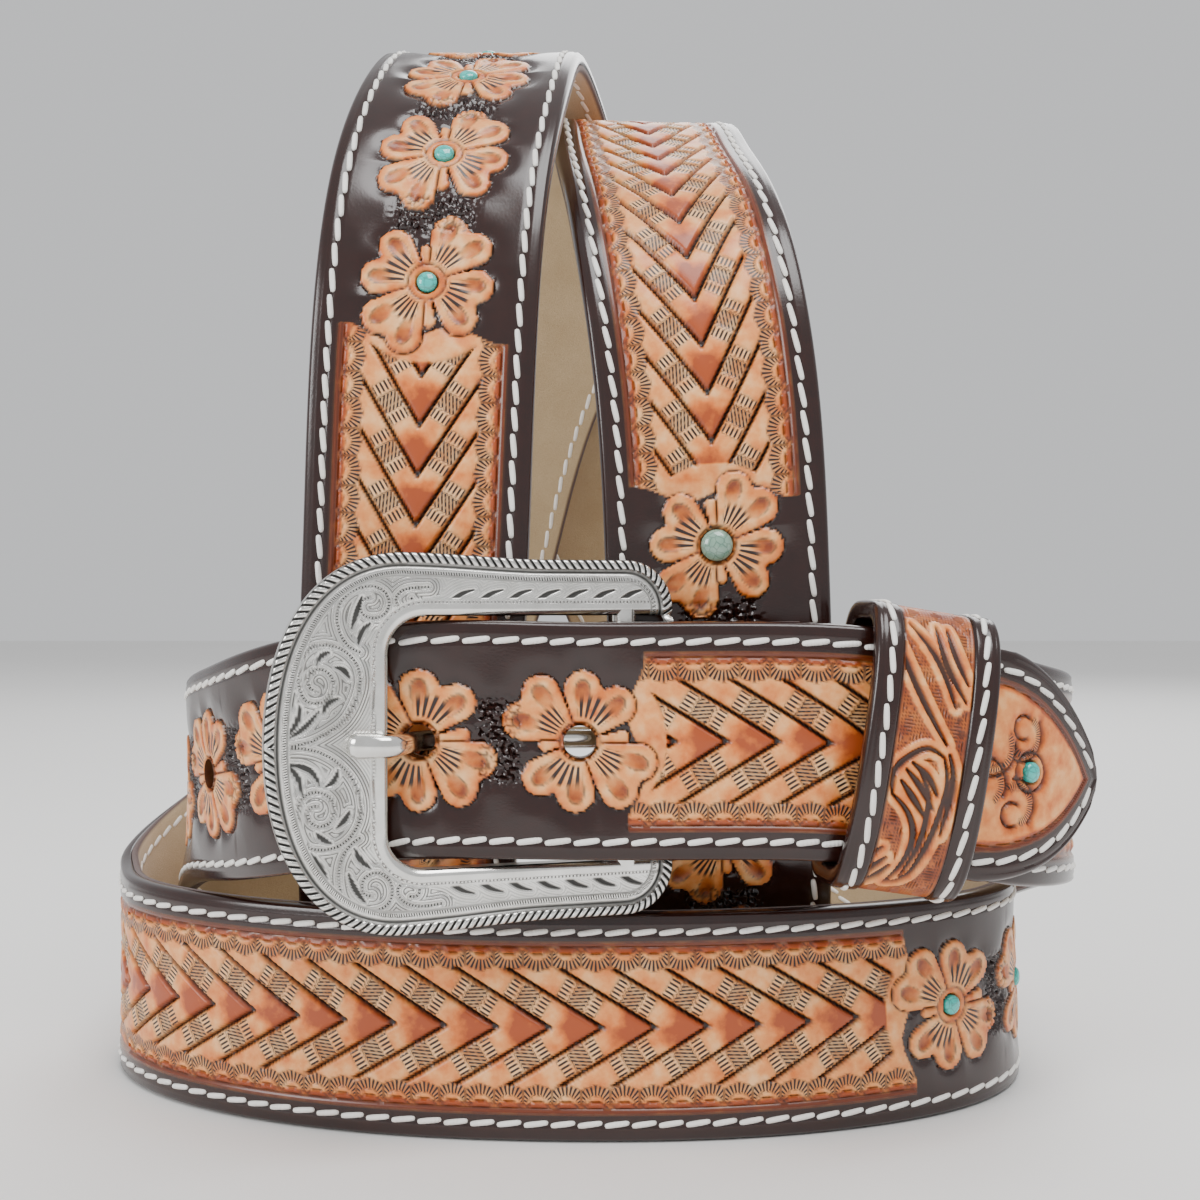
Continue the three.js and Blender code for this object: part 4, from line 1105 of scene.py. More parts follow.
# Buckle: cast white metal, silver plated, its scrolls, leaves and zigzags cut by hand, then
# blackened and rubbed bright again, with a twisted rope round its outer edge.
def antique_silver(name, bright, dark, rough):
    """Plated metal, bright where rubbed and black in the cuts that its marks name, and greyed where they
    carry painted shade.
    """
    material, tree, shader = new_material(name)
    place = add(tree, "ShaderNodeTexCoord").outputs["Object"]
    stain_and_shade = add(tree, "ShaderNodeAttribute", attribute_name="stain_and_shade").outputs["Fac"]
    stroke = add(tree, "ShaderNodeAttribute", attribute_name="stroke").outputs["Fac"]
    phase = add(tree, "ShaderNodeAttribute", attribute_name="phase").outputs["Fac"]
    turns = add(tree, "ShaderNodeMath", {0: phase, 1: 2 * math.pi}, operation="MULTIPLY")
    wave = add(tree, "ShaderNodeMath", {0: turns.outputs[0]}, operation="COSINE")
    line = add(tree, "ShaderNodeMapRange", {"Value": wave.outputs[0], 1: -0.1, 2: 0.6, 3: 0.0, 4: 1.0})
    ink = add(tree, "ShaderNodeMath", {0: line.outputs[0], 1: stroke}, operation="MULTIPLY")
    cut = add(tree, "ShaderNodeMath", {0: ink.outputs[0], 1: stain_and_shade}, operation="MAXIMUM", use_clamp=True)
    # Rubbed clouds of about 4 mm and hairline scratches of about 0.3 mm.
    cloud = add(tree, "ShaderNodeTexNoise", {"Vector": place, "Scale": 250.0, "Detail": 3.0})
    hair = add(tree, "ShaderNodeTexNoise", {"Vector": place, "Scale": 3200.0, "Detail": 2.0})
    rubbed = mixed(tree, cloud.outputs["Fac"], colour(bright), colour("#cfcdc6"))
    # Blackened in the cuts, and darkened by painted shade across the field where marked.
    blackened_and_shaded = mixed(tree, cut.outputs[0], rubbed.outputs[2], colour(dark))
    tree.links.new(blackened_and_shaded.outputs[2], shader.inputs["Base Color"])
    metal = add(tree, "ShaderNodeMapRange", {"Value": cut.outputs[0], 1: 0.0, 2: 1.0, 3: 1.0, 4: 0.3})
    tree.links.new(metal.outputs[0], shader.inputs["Metallic"])
    dull = add(tree, "ShaderNodeMapRange", {"Value": cut.outputs[0], 1: 0.0, 2: 1.0, 3: rough, 4: 0.55})
    tree.links.new(dull.outputs[0], shader.inputs["Roughness"])
    engraved = add(tree, "ShaderNodeBump", {"Height": ink.outputs[0], "Strength": 0.6, "Distance": 0.00012},
                   invert=True)
    scratched = add(tree, "ShaderNodeBump", {
        "Height": hair.outputs["Fac"], "Strength": 0.08, "Distance": 0.00006,
        "Normal": engraved.outputs["Normal"]})
    tree.links.new(scratched.outputs["Normal"], shader.inputs["Normal"])
    return material


silver = antique_silver("engraved_antique_silver", "#fffefb", "#0e0c09", 0.2)
FRAME_HALF_HEIGHT = 30.0
FRAME_NOSE = 19.0
ARM_OVERHANG = 7.8
WINDOW_CORNER = 6.0
ARM_ROUND = 8.0
ARM_TAPER = 1.0
STRAP_CLEARANCE = 1.0
ROPE_PITCH = 1.3
BEAD_PITCH = 0.42
ZIGZAG_PITCH = 0.6
FLOW_PITCH = 0.46
CORNER_POINTS = 24
SHOULDER_POINTS = 60
CHEEK_POINTS = 160
OUTLINE_POINTS = 260
EDGE_BAND = 4.0
BEADED_SCROLLS = [
    # corners of each line, x from the heel bar and height from the tongue, from its root inwards
    [(-55.1, 0.0), (-51.6, 0.6), (-48.5, 2.1), (-45.9, 4.2), (-44.4, 6.9), (-43.7, 9.7), (-44.2, 12.4),
     (-45.9, 14.4), (-48.5, 15.5), (-50.8, 15.3), (-52.6, 13.7), (-53.2, 11.4), (-52.9, 8.6),
     (-51.8, 6.9), (-50.0, 6.6), (-48.5, 7.4), (-47.8, 9.1), (-48.3, 10.9), (-49.7, 11.8),
     (-51.0, 11.5), (-51.7, 10.4), (-51.4, 9.0), (-50.4, 8.4)],
    [(-55.1, -0.3), (-51.6, -0.5), (-48.9, -1.5), (-46.1, -3.7), (-44.4, -6.2), (-43.6, -9.0),
     (-43.8, -11.7), (-45.0, -14.0), (-46.9, -15.5), (-49.3, -16.0), (-51.6, -15.5), (-52.8, -13.7),
     (-53.3, -11.3), (-53.1, -9.0), (-52.2, -7.6), (-50.4, -7.1), (-48.9, -7.6), (-47.9, -8.8),
     (-47.8, -10.8), (-48.7, -12.1), (-50.0, -12.4), (-51.2, -11.8), (-51.7, -10.4), (-51.2, -9.4),
     (-50.2, -9.3)],
    [(-43.8, 14.4), (-45.5, 15.4), (-46.8, 17.4), (-47.3, 19.6), (-46.9, 21.7), (-45.5, 23.5),
     (-43.6, 24.4), (-41.2, 24.5), (-39.6, 23.4), (-39.2, 21.7), (-39.9, 20.3), (-41.4, 19.7),
     (-43.0, 20.1), (-43.7, 21.3), (-43.2, 22.6), (-42.0, 22.9)],
    [(-43.8, -14.5), (-45.3, -15.6), (-46.5, -17.5), (-47.0, -19.9), (-46.8, -22.2), (-46.1, -24.2),
     (-44.6, -25.4), (-42.6, -25.9), (-40.4, -25.6), (-39.1, -24.6), (-38.7, -22.7), (-39.4, -20.9),
     (-41.0, -20.0), (-42.6, -20.4), (-43.4, -21.8), (-42.9, -23.3), (-41.8, -23.5)],
    [(-33.0, 24.5), (-35.4, 24.4), (-37.2, 23.9), (-38.1, 22.6), (-37.6, 21.4), (-36.2, 21.1),
     (-35.2, 21.8), (-35.7, 22.8)],
    [(-31.0, -25.4), (-33.4, -25.6), (-35.8, -25.3), (-37.4, -24.2), (-37.8, -22.8), (-37.0, -21.8),
     (-35.4, -21.8), (-34.4, -22.7), (-34.8, -23.9), (-35.8, -24.0)],
]
LEAF_CUTS = [
    # corners of each deep cut, as above
    [(-55.1, 1.8), (-54.7, 5.2), (-53.6, 8.3)],
    [(-55.0, 1.5), (-53.3, 3.9), (-52.9, 6.5)],
    [(-54.7, 1.2), (-52.2, 2.9), (-50.0, 5.4)],
    [(-55.1, -2.3), (-54.7, -5.4), (-54.1, -9.7)],
    [(-55.0, -2.6), (-53.1, -5.1), (-52.6, -7.6)],
    [(-54.7, -2.7), (-51.2, -3.9), (-49.8, -6.3)],
    [(-50.4, 12.5), (-49.8, 13.7), (-48.2, 14.5)],
    [(-47.5, 12.1), (-46.3, 11.7), (-45.3, 10.3)],
    [(-53.1, 15.3), (-51.2, 19.2), (-48.9, 21.5)],
    [(-45.0, 18.0), (-44.2, 20.7), (-43.4, 23.1)],
    [(-44.0, 15.6), (-43.4, 17.6), (-42.0, 19.0)],
    [(-50.4, -13.4), (-49.7, -14.2), (-48.1, -15.1)],
    [(-47.3, -12.7), (-46.1, -11.6), (-45.2, -10.1)],
    [(-49.3, 5.0), (-48.9, 6.2), (-46.9, 7.3)],
    [(-49.1, -6.4), (-47.7, -5.4), (-47.1, -3.7)],
    [(-51.2, -16.5), (-49.3, -19.7), (-48.9, -23.2)],
    [(-45.5, -19.9), (-44.2, -22.8), (-42.8, -24.6)],
    [(-44.6, -16.0), (-43.4, -18.1), (-42.0, -19.3)],
]
ARM_LEAF = [(0.0, 21.6), (1.5, 21.7), (3.3, 22.2), (4.9, 23.3), (7.2, 24.1)]
ARM_LEAF_PITCH = 4.7
ARM_LEAF_FIRST = -32.8
ARM_LEAF_COUNT = 8
for i in range(ARM_LEAF_COUNT):
    for side in (1, -1):
        LEAF_CUTS.append([(ARM_LEAF_FIRST + i * ARM_LEAF_PITCH + x, side * y) for x, y in ARM_LEAF])


def bezier(a, b, c, d, count):
    t = np.linspace(0, 1, count)[:, None]
    a, b, c, d = (np.array(p, float) for p in (a, b, c, d))
    return (1 - t) ** 3 * a + 3 * (1 - t) ** 2 * t * b + 3 * (1 - t) * t ** 2 * c + t ** 3 * d


def frame_outlines():
    """Upper halves of the frame's outer and inner outlines, matched point by point."""
    arm = STRAP_WIDTH / 2 + STRAP_CLEARANCE
    high = FRAME_HALF_HEIGHT
    arm_high = high - ARM_TAPER
    rounding = min(ARM_ROUND, 0.9 * (arm_high - arm))
    shoulder, waist = -WINDOW_LENGTH * 0.94, -WINDOW_LENGTH * 0.35
    nose = -WINDOW_LENGTH - FRAME_NOSE
    cheek = shoulder - FRAME_NOSE * 0.7
    turn = np.linspace(0, math.pi / 2, CORNER_POINTS)
    corner = np.stack([ARM_OVERHANG - rounding + rounding * np.cos(turn),
                       arm_high - rounding + rounding * np.sin(turn)], axis=1)
    outer = np.concatenate([
        corner,
        [(waist, arm_high)],
        bezier((waist, arm_high), (waist * 1.5, arm_high), (shoulder * 0.8, high), (shoulder, high),
               SHOULDER_POINTS)[1:],
        bezier((shoulder, high), (cheek, high), (nose, high * 0.6), (nose, 0), CHEEK_POINTS)[1:],
    ])
    window = -WINDOW_LENGTH
    round_in = np.stack([window + WINDOW_CORNER - WINDOW_CORNER * np.sin(turn[1:]),
                         arm - WINDOW_CORNER + WINDOW_CORNER * np.cos(turn[1:])], axis=1)
    inner = np.concatenate([
        [(ARM_OVERHANG, arm), (window + WINDOW_CORNER, arm)], round_in, [(window, 0)]])
    return outer, inner


def path_lengths(path):
    return np.concatenate([[0], np.cumsum(np.linalg.norm(np.diff(path, axis=0), axis=1))])


def along_path(path, at):
    lengths = path_lengths(path)
    return np.stack([np.interp(at, lengths, column) for column in path.T], axis=1)


def to_path(x, y, path):
    """Distance from points to a drawn path, and how far along it the nearest place is."""
    path = np.array(path, float)
    lengths = path_lengths(path)
    nearest = np.full(x.shape, 99.0)
    at = np.zeros(x.shape)
    for (ax, ay), (bx, by), start in zip(path, path[1:], lengths):
        dx, dy = bx - ax, by - ay
        size = math.hypot(dx, dy)
        share = np.clip(((x - ax) * dx + (y - ay) * dy) / size ** 2, 0, 1)
        away = np.hypot(x - ax - share * dx, y - ay - share * dy)
        closer = away < nearest
        nearest = np.where(closer, away, nearest)
        at = np.where(closer, start + share * size, at)
    return nearest, at


def rounded_path(corners, spacing=0.35):
    """A smooth path through a few drawn corners."""
    corners = np.array(corners, float)
    lengths = path_lengths(corners)
    return natural_spline(lengths, corners, np.arange(0, lengths[-1], spacing))


def engrave(x, y, from_edge, edge_at, from_window, window_at):
    """Height of the buckle's face over its plate, and its dark marks, in the frame's plane."""
    mark = Tooling(x.size)
    bead = np.clip(1 - ((from_edge - 0.88) / 0.88) ** 2, 0, 1)
    twist = edge_at / ROPE_PITCH + 0.55 * from_edge * np.sign(y + 1e-6)
    strand = 0.5 + 0.5 * np.cos(2 * math.pi * twist)
    rope = from_edge < 1.76
    height = np.where(rope, 0.5 * np.sqrt(bead) * (1 - 0.5 * strand ** 3), 0.0)
    mark.hatch(twist, np.where(rope, 1 - rise(from_edge, 1.35, 1.75) * 0.3, 0.0))
    groove = hump(from_edge, 2.05, 0.5)
    height -= 0.3 * groove
    mark.stain_and_shade = np.maximum(mark.stain_and_shade, groove)
    mark.stain_and_shade = np.maximum(mark.stain_and_shade, 0.9 * (1 - rise(from_edge, 0.05, 0.2)))
    serrated = rise(from_edge, 2.75, 2.85) * (1 - rise(from_edge, 3.4, 3.5))
    mark.hatch(edge_at / BEAD_PITCH + 0.6 * from_edge, serrated)
    mark.stain_and_shade = np.maximum(mark.stain_and_shade, 0.75 * hump(from_edge, 3.62, 0.24))
    zigzag = rise(from_window, 1.95, 2.05) * (1 - rise(from_window, 2.3, 2.4))
    mark.hatch(window_at / ZIGZAG_PITCH, zigzag * 0.75)
    field = rise(from_edge, 3.75, 3.95) * rise(from_window, 2.6, 2.9)
    nearest = np.full(x.shape, 99.0)
    for corners in BEADED_SCROLLS:
        away, at = to_path(x, y, rounded_path(corners))
        beads = field * (1 - rise(away, 0.2, 0.3))
        mark.hatch(at / 0.5, beads)
        mark.stain_and_shade = np.maximum(mark.stain_and_shade, 0.4 * beads)
        nearest = np.minimum(nearest, away)
    flow = field * rise(nearest, 0.42, 0.55) * (1 - 0.65 * rise(nearest, 1.7, 2.6))
    leaves = np.full(x.shape, 99.0)
    for corners in LEAF_CUTS:
        away, at = to_path(x, y, rounded_path(corners))
        whole = path_lengths(np.array(corners))[-1]
        swell = 0.08 + 0.3 * np.sin(math.pi * np.clip(at / whole, 0, 1))
        leaf = field * (1 - rise(away, swell, swell + 0.16))
        mark.stain_and_shade = np.maximum(mark.stain_and_shade, 0.95 * leaf)
        height -= 0.18 * leaf
        leaves = np.minimum(leaves, away - swell)
    bright = 1 - rise(leaves, 0.3, 0.6)
    spread = np.minimum(nearest, leaves + 0.5)
    mark.hatch(spread / FLOW_PITCH, 0.75 * flow * (1 - bright))
    # Painted shade: the field greys from near the window out towards the beaded border.
    shade = field * rise(from_window, 3.0, 7.5) * (1 - bright)
    mark.stain_and_shade = np.maximum(mark.stain_and_shade, 0.22 * shade)
    height += 0.12 * field * np.sin(np.clip(nearest / 1.6, 0, 1) * math.pi)
    lip = np.clip(1 - from_window / 1.1, 0, 1)
    height -= 0.6 * lip ** 2
    mark.height = height
    return mark


outer_half, inner_half = frame_outlines()
outer_marks = path_lengths(outer_half)
inner_marks = path_lengths(inner_half)
outer_size, inner_size = outer_marks[-1], inner_marks[-1]
arc_top = outer_marks[CORNER_POINTS - 1]
shoulder_at = outer_marks[CORNER_POINTS - 1 + SHOULDER_POINTS]
corner_start, corner_end = inner_marks[1], inner_marks[CORNER_POINTS]
FRAME_STEP = 0.24 * fine
row_total = int(outer_size / FRAME_STEP)
outer_at = np.linspace(0, outer_size, row_total + 1)
matched = np.interp(
    outer_at,
    [0, arc_top, shoulder_at - 2.5, shoulder_at + 15.0, outer_size],
    [0, ARM_OVERHANG + 0.1, corner_start, corner_end, inner_size])
outer_rows = along_path(outer_half, outer_at)
inner_rows = along_path(inner_half, matched)
mirror = np.array([1.0, -1.0])
outer_rows = np.concatenate([outer_rows, outer_rows[-2::-1] * mirror])
inner_rows = np.concatenate([inner_rows, inner_rows[-2::-1] * mirror])
edge_columns = np.linspace(0, EDGE_BAND, int(20 / fine) + 1)
field_columns = int(44 / fine)
width = np.linalg.norm(inner_rows - outer_rows, axis=1)
share_rows = np.concatenate([
    edge_columns[None, :] / width[:, None],
    (EDGE_BAND / width)[:, None]
    + (1 - EDGE_BAND / width)[:, None] * np.linspace(0, 1, field_columns + 1)[None, 1:],
], axis=1)
face_x = outer_rows[:, :1] + share_rows * (inner_rows - outer_rows)[:, :1]
face_y = outer_rows[:, 1:] + share_rows * (inner_rows - outer_rows)[:, 1:]
whole_outer = np.concatenate([[(ARM_OVERHANG, STRAP_WIDTH / 2 + STRAP_CLEARANCE)], outer_half,
                              (outer_half * mirror)[-2::-1],
                              [(ARM_OVERHANG, -STRAP_WIDTH / 2 - STRAP_CLEARANCE)]])
whole_outer = along_path(whole_outer, np.linspace(0, path_lengths(whole_outer)[-1], OUTLINE_POINTS))
whole_inner = np.concatenate([inner_half, (inner_half * mirror)[-2::-1]])
flat_x, flat_y = face_x.ravel(), face_y.ravel()
from_edge, edge_at = to_path(flat_x, flat_y, whole_outer)
from_window, window_at = to_path(flat_x, flat_y, whole_inner)
mark = engrave(flat_x, flat_y, from_edge, edge_at, from_window, window_at)
front = -FRAME_THICKNESS / 2
FRAME_WALL = [
    # in from the outline, depth from the plate's middle, from the rim back and round
    (0.0, front + 0.35),
    (0.0, FRAME_THICKNESS / 2 - 0.6),
    (0.25, FRAME_THICKNESS / 2 - 0.2),
    (0.7, FRAME_THICKNESS / 2),
]
columns = face_x.shape[1]
depth = (front - mark.height).reshape(face_x.shape)
toward = (inner_rows - outer_rows) / width[:, None]
ring_x = [face_x]
ring_y = [face_y]
ring_depth = [depth]
for base, sign, wall in ((inner_rows, -1, FRAME_WALL), (outer_rows, 1, FRAME_WALL[::-1])):
    for inset, back in wall:
        ring_x.append((base[:, 0] + sign * inset * toward[:, 0])[:, None])
        ring_y.append((base[:, 1] + sign * inset * toward[:, 1])[:, None])
        ring_depth.append(np.full((len(base), 1), back))
ring_x, ring_y, ring_depth = (np.concatenate(part, axis=1) for part in (ring_x, ring_y, ring_depth))


def loop_mesh(name, points):
    """A closed mesh from rows of closed sections, capped at its two ends."""
    row_count, ring_count = points.shape[:2]
    bm = bmesh.new()
    bmesh.ops.create_grid(bm, x_segments=row_count - 1, y_segments=ring_count, size=0.5)
    spots = np.array([vert.co[:2] for vert in bm.verts])
    row = np.rint((spots[:, 0] + 0.5) * (row_count - 1)).astype(int)
    column = np.rint((spots[:, 1] + 0.5) * ring_count).astype(int)
    close_band(bm, points[row, column % ring_count])
    return mesh_from(name, bm)


def lean_back(x, depth, height):
    """Points of the leaning frame's plane in the strap's own place."""
    cos, sin = math.cos(buckle_lean), math.sin(buckle_lean)
    return np.stack([
        HEEL_BAR_X + x * cos - depth * sin,
        BAR_Y + x * sin + depth * cos,
        BUCKLE_Z + height,
    ], axis=-1) + strap_zero


def metal_piece(name, mesh, node, material, sharp=40):
    mesh.materials.append(material)
    mesh.shade_smooth()
    mesh.set_sharp_from_angle(angle=math.radians(sharp))
    piece = bpy.data.objects.new(name, mesh)
    bpy.context.scene.collection.objects.link(piece)
    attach(piece, "root")
    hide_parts(node)
    return piece


stacked = np.stack([ring_x, ring_depth, ring_y], axis=-1)
mesh = loop_mesh("buckle_frame", stacked)
flat = read_points(mesh)
face_points = np.stack([flat_x, depth.ravel(), flat_y], axis=1)
face_points = face_points.astype(np.float32).astype(float)
lookup = {tuple(np.round(point, 3)): i for i, point in enumerate(face_points)}
index = np.array([lookup.get(tuple(np.round(point, 3)), -1) for point in flat])
set_marks(mesh, {
    "stain_and_shade": np.where(index >= 0, mark.stain_and_shade[index], 0.25),
    "stroke": np.where(index >= 0, mark.stroke[index], 0.0),
    "phase": np.where(index >= 0, mark.phase[index], 0.0),
})
write_points(mesh, lean_back(flat[:, 0], flat[:, 1], flat[:, 2]))
metal_piece("buckle_frame_face", mesh, "buckle_frame", silver, 50)


# Tongue: white metal cast in one with its loop, silver plated and rubbed bright; round, thicker
# and flattened at its tip. It is swept along its path; its loop and the heel bar are turned.
bright_silver = antique_silver("polished_silver_plate", "#fffefb", "#2a2723", 0.16)
TONGUE_RADIUS = 1.8
TONGUE_LOOP_WALL = 1.7
TONGUE_LOOP_WIDTH = 4.4
TONGUE_REST = 3.9
TONGUE_CLEARANCE = 0.35
TONGUE_LIFT = 0.9
TONGUE_SIDES = 28
TONGUE_SHAPE = [
    # share of its length, half thickness, half width
    (0.0, 1.7, 1.8),
    (0.55, 1.6, 1.6),
    (0.8, 1.6, 1.6),
    (0.92, 1.75, 2.0),
    (0.97, 1.6, 2.05),
    (0.99, 1.2, 1.65),
    (1.0, 0.5, 0.8),
]
hole_x = float(along_route(route_values[:, :3], np.array([free_hole - HOLE_PITCH]))[0][0])
behind = STRAP_THICKNESS + LAYER_GAP + TONGUE_RADIUS + TONGUE_CLEARANCE


def over_face(x):
    return (BAR_Y + (x - HEEL_BAR_X) * math.tan(buckle_lean)
            - FRAME_THICKNESS / 2 / math.cos(buckle_lean) - TONGUE_CLEARANCE - TONGUE_RADIUS)


tongue_corners = np.array([
    (HEEL_BAR_X - HEEL_BAR_RADIUS - BAR_CLEARANCE - TONGUE_LOOP_WALL / 2, BAR_Y - TONGUE_RADIUS * 0.6),
    (HEEL_BAR_X - 3 * TONGUE_RADIUS - 2 * TONGUE_LOOP_WALL - HEEL_BAR_RADIUS, behind + 0.2),
    (hole_x + 5 * TONGUE_RADIUS, behind),
    (hole_x + 2 * TONGUE_RADIUS, behind - 0.6 * STRAP_THICKNESS),
    (hole_x, STRAP_THICKNESS / 2),
    (hole_x - TONGUE_RADIUS, -TONGUE_RADIUS - 0.4 * STRAP_THICKNESS),
    (window_edge_x + 1, over_face(window_edge_x) - TONGUE_LIFT),
    (window_edge_x - TONGUE_REST * 0.6, over_face(window_edge_x - TONGUE_REST * 0.6) - TONGUE_LIFT / 3),
    (window_edge_x - TONGUE_REST - 1.6, over_face(window_edge_x - TONGUE_REST) + 0.1),
])
tongue_path = rounded_path(tongue_corners, 0.3)
tongue_at = path_lengths(tongue_path) / path_lengths(tongue_path)[-1]
heading = np.gradient(tongue_path, axis=0)
heading /= np.linalg.norm(heading, axis=1)[:, None]
shape = np.array(TONGUE_SHAPE)
thick = np.interp(tongue_at, shape[:, 0], shape[:, 1])
wide = np.interp(tongue_at, shape[:, 0], shape[:, 2])
turn = np.arange(TONGUE_SIDES) * 2 * math.pi / TONGUE_SIDES
out = np.sign(np.cos(turn)) * np.abs(np.cos(turn)) ** 0.85
side = np.sign(np.sin(turn)) * np.abs(np.sin(turn)) ** 0.85
normal = np.stack([heading[:, 1], -heading[:, 0]], axis=1)
plan = tongue_path[:, None, :] + normal[:, None, :] * (thick[:, None] * out)[:, :, None]
points = np.concatenate([plan, BUCKLE_Z + (wide[:, None] * side)[:, :, None]], axis=2)
mesh = loop_mesh("buckle_tongue", points)
write_points(mesh, read_points(mesh) + strap_zero)
metal_piece("buckle_tongue_rod", mesh, "buckle_tongue", bright_silver, 60)

loop_inner = HEEL_BAR_RADIUS + BAR_CLEARANCE
LOOP_EDGE = 0.5
half = TONGUE_LOOP_WIDTH / 2
profile = [
    (loop_inner, -half + LOOP_EDGE), (loop_inner + LOOP_EDGE, -half),
    (loop_inner + TONGUE_LOOP_WALL - LOOP_EDGE, -half), (loop_inner + TONGUE_LOOP_WALL, -half + LOOP_EDGE),
    (loop_inner + TONGUE_LOOP_WALL, half - LOOP_EDGE), (loop_inner + TONGUE_LOOP_WALL - LOOP_EDGE, half),
    (loop_inner + LOOP_EDGE, half), (loop_inner, half - LOOP_EDGE),
]


def turned_ring(name, profile, middle, axis, steps=48):
    """A closed ring turned round an axis through its middle: the profile's radius and place."""
    bm = bmesh.new()
    verts = [bm.verts.new((radius, 0, along)) for radius, along in profile]
    edges = [bm.edges.new((verts[i], verts[(i + 1) % len(verts)])) for i in range(len(verts))]
    bmesh.ops.spin(bm, geom=verts + edges, cent=(0, 0, 0), axis=(0, 0, 1), angle=2 * math.pi,
                   steps=steps, use_merge=True)
    bmesh.ops.remove_doubles(bm, verts=bm.verts, dist=1e-4)
    bmesh.ops.recalc_face_normals(bm, faces=bm.faces)
    turn = Vector((0, 0, 1)).rotation_difference(Vector(axis)).to_matrix().to_4x4()
    bmesh.ops.transform(bm, matrix=Matrix.Translation(middle) @ turn, verts=bm.verts)
    mesh = mesh_from(name, bm)
    write_points(mesh, read_points(mesh))
    return mesh


bar_middle = np.array([HEEL_BAR_X, BAR_Y, BUCKLE_Z]) + strap_zero
mesh = turned_ring("buckle_tongue_loop", profile, bar_middle, (0, 0, 1))
metal_piece("buckle_tongue_loop", mesh, "buckle_tongue", bright_silver)
bar_half = STRAP_WIDTH / 2 + STRAP_CLEARANCE + 1.0
bm = bmesh.new()
bmesh.ops.create_cone(bm, cap_ends=True, segments=40, radius1=HEEL_BAR_RADIUS, radius2=HEEL_BAR_RADIUS,
                      depth=2 * bar_half, matrix=Matrix.Translation(bar_middle))
mesh = mesh_from("buckle_heel_bar", bm)
write_points(mesh, read_points(mesh))
metal_piece("buckle_heel_bar", mesh, "buckle_frame", bright_silver)


# Rivets: nickel-plated brass, flat heads sunk in the chape and domed caps behind it, left satin.
# Each is one profile turned round its own axis.
nickel = antique_silver("satin_nickel_plate", "#d8d6d0", "#3a3733", 0.34)
RIVET_PITCH = 11.0
RIVET_HEAD = (3.2, 0.1, 0.8)
RIVET_CAP = (3.7, 0.3, 1.2)
chape_back = 2 * STRAP_THICKNESS + 2 * LAYER_GAP + CHAPE_THICKNESS
chape_face = STRAP_THICKNESS + LAYER_GAP
for i in range(2):
    name = f"chape_rivet_{i + 1}"
    head_radius, head_low, head_high = RIVET_HEAD
    cap_radius, cap_gap, cap_rise = RIVET_CAP
    cap = chape_back + cap_gap
    dome = [(cap_radius * math.cos(t), cap + 0.35 + (cap_rise - 0.35) * math.sin(t))
            for t in np.linspace(0, math.pi / 2, 9)]
    profile = [(0.0, chape_face + head_low), (head_radius - 0.25, chape_face + head_low),
               (head_radius, chape_face + head_low + 0.2), (head_radius, chape_face + head_high),
               (1.6, chape_face + head_high), (1.6, cap), (cap_radius - 0.15, cap), (cap_radius, cap + 0.15)]
    middle = np.array([RIVET_X + i * RIVET_PITCH, 0, BUCKLE_Z]) + strap_zero
    mesh = turned_ring(name, profile + dome[:-1] + [(0.0, cap + cap_rise)], middle, (0, 1, 0))
    metal_piece(name + "_turned", mesh, name, nickel)


# Keeper: one strip of the same leather, bent to an oval and joined behind, its middle tooled with
# curled leaves on a stippled ground and its dyed borders stitched like the strap's.
KEEPER_WIDTH = 20.5
KEEPER_THICKNESS = 3.0
KEEPER_BULGE = 4.0
KEEPER_CLEARANCE = 1.1
KEEPER_X = 49.5
KEEPER_STITCH_ACROSS = 7.7
KEEPER_LEAVES = [
    # each cut: across the keeper from its middle, up from the front's middle
    [(-2.8, 21.5), (-0.6, 20.6), (1.6, 16.5), (2.6, 12.5), (3.4, 7.5), (3.5, 3.0), (2.6, 0.0)],
    [(-2.8, 21.5), (-0.9, 17.5), (-0.4, 12.2), (-2.3, 8.6), (-4.9, 6.5)],
    [(-0.7, 19.8), (0.7, 15.5), (1.3, 10.0), (0.6, 5.0), (-1.0, 2.4)],
    [(3.9, 12.0), (4.5, 6.5), (4.3, 2.0), (3.2, -1.0)],
    [(-4.9, 6.5), (-4.9, 2.5), (-2.9, 0.2), (-0.2, -1.3), (2.6, -0.2)],
    [(-3.8, 4.2), (-1.2, 7.0), (1.0, 9.6)],
    [(-3.2, 2.4), (-0.4, 5.0), (2.0, 8.2)],
    [(-2.4, 1.2), (0.6, 3.4), (2.4, 6.0)],
    [(2.6, -2.2), (-1.3, -7.5), (-6.4, -16.5), (-8.0, -20.5)],
    [(3.2, -8.2), (-0.2, -15.2), (-5.0, -21.0)],
    [(4.8, -9.2), (0.8, -16.0), (-0.6, -21.0)],
    [(4.9, -12.0), (2.2, -17.5), (1.2, -21.0)],
    [(-8.6, 21.0), (-6.2, 17.0), (-4.6, 15.0)],
    [(-7.4, 21.6), (-5.0, 18.4), (-3.6, 16.6)],
    [(-5.9, 22.0), (-3.9, 19.6), (-2.9, 18.0)],
]
KEEPER_DROPS = [
    # across, up, radius of each pressed drop
    (4.8, -4.2, 0.75),
    (4.1, -6.4, 0.65),
    (3.6, -8.6, 0.55),
]
keeper_at = length_at_x(KEEPER_X)
keeper_frame = [along_route(table, np.array([keeper_at]))[0]
                for table in (route_values[:, :3], route_face, route_across, route_along)]


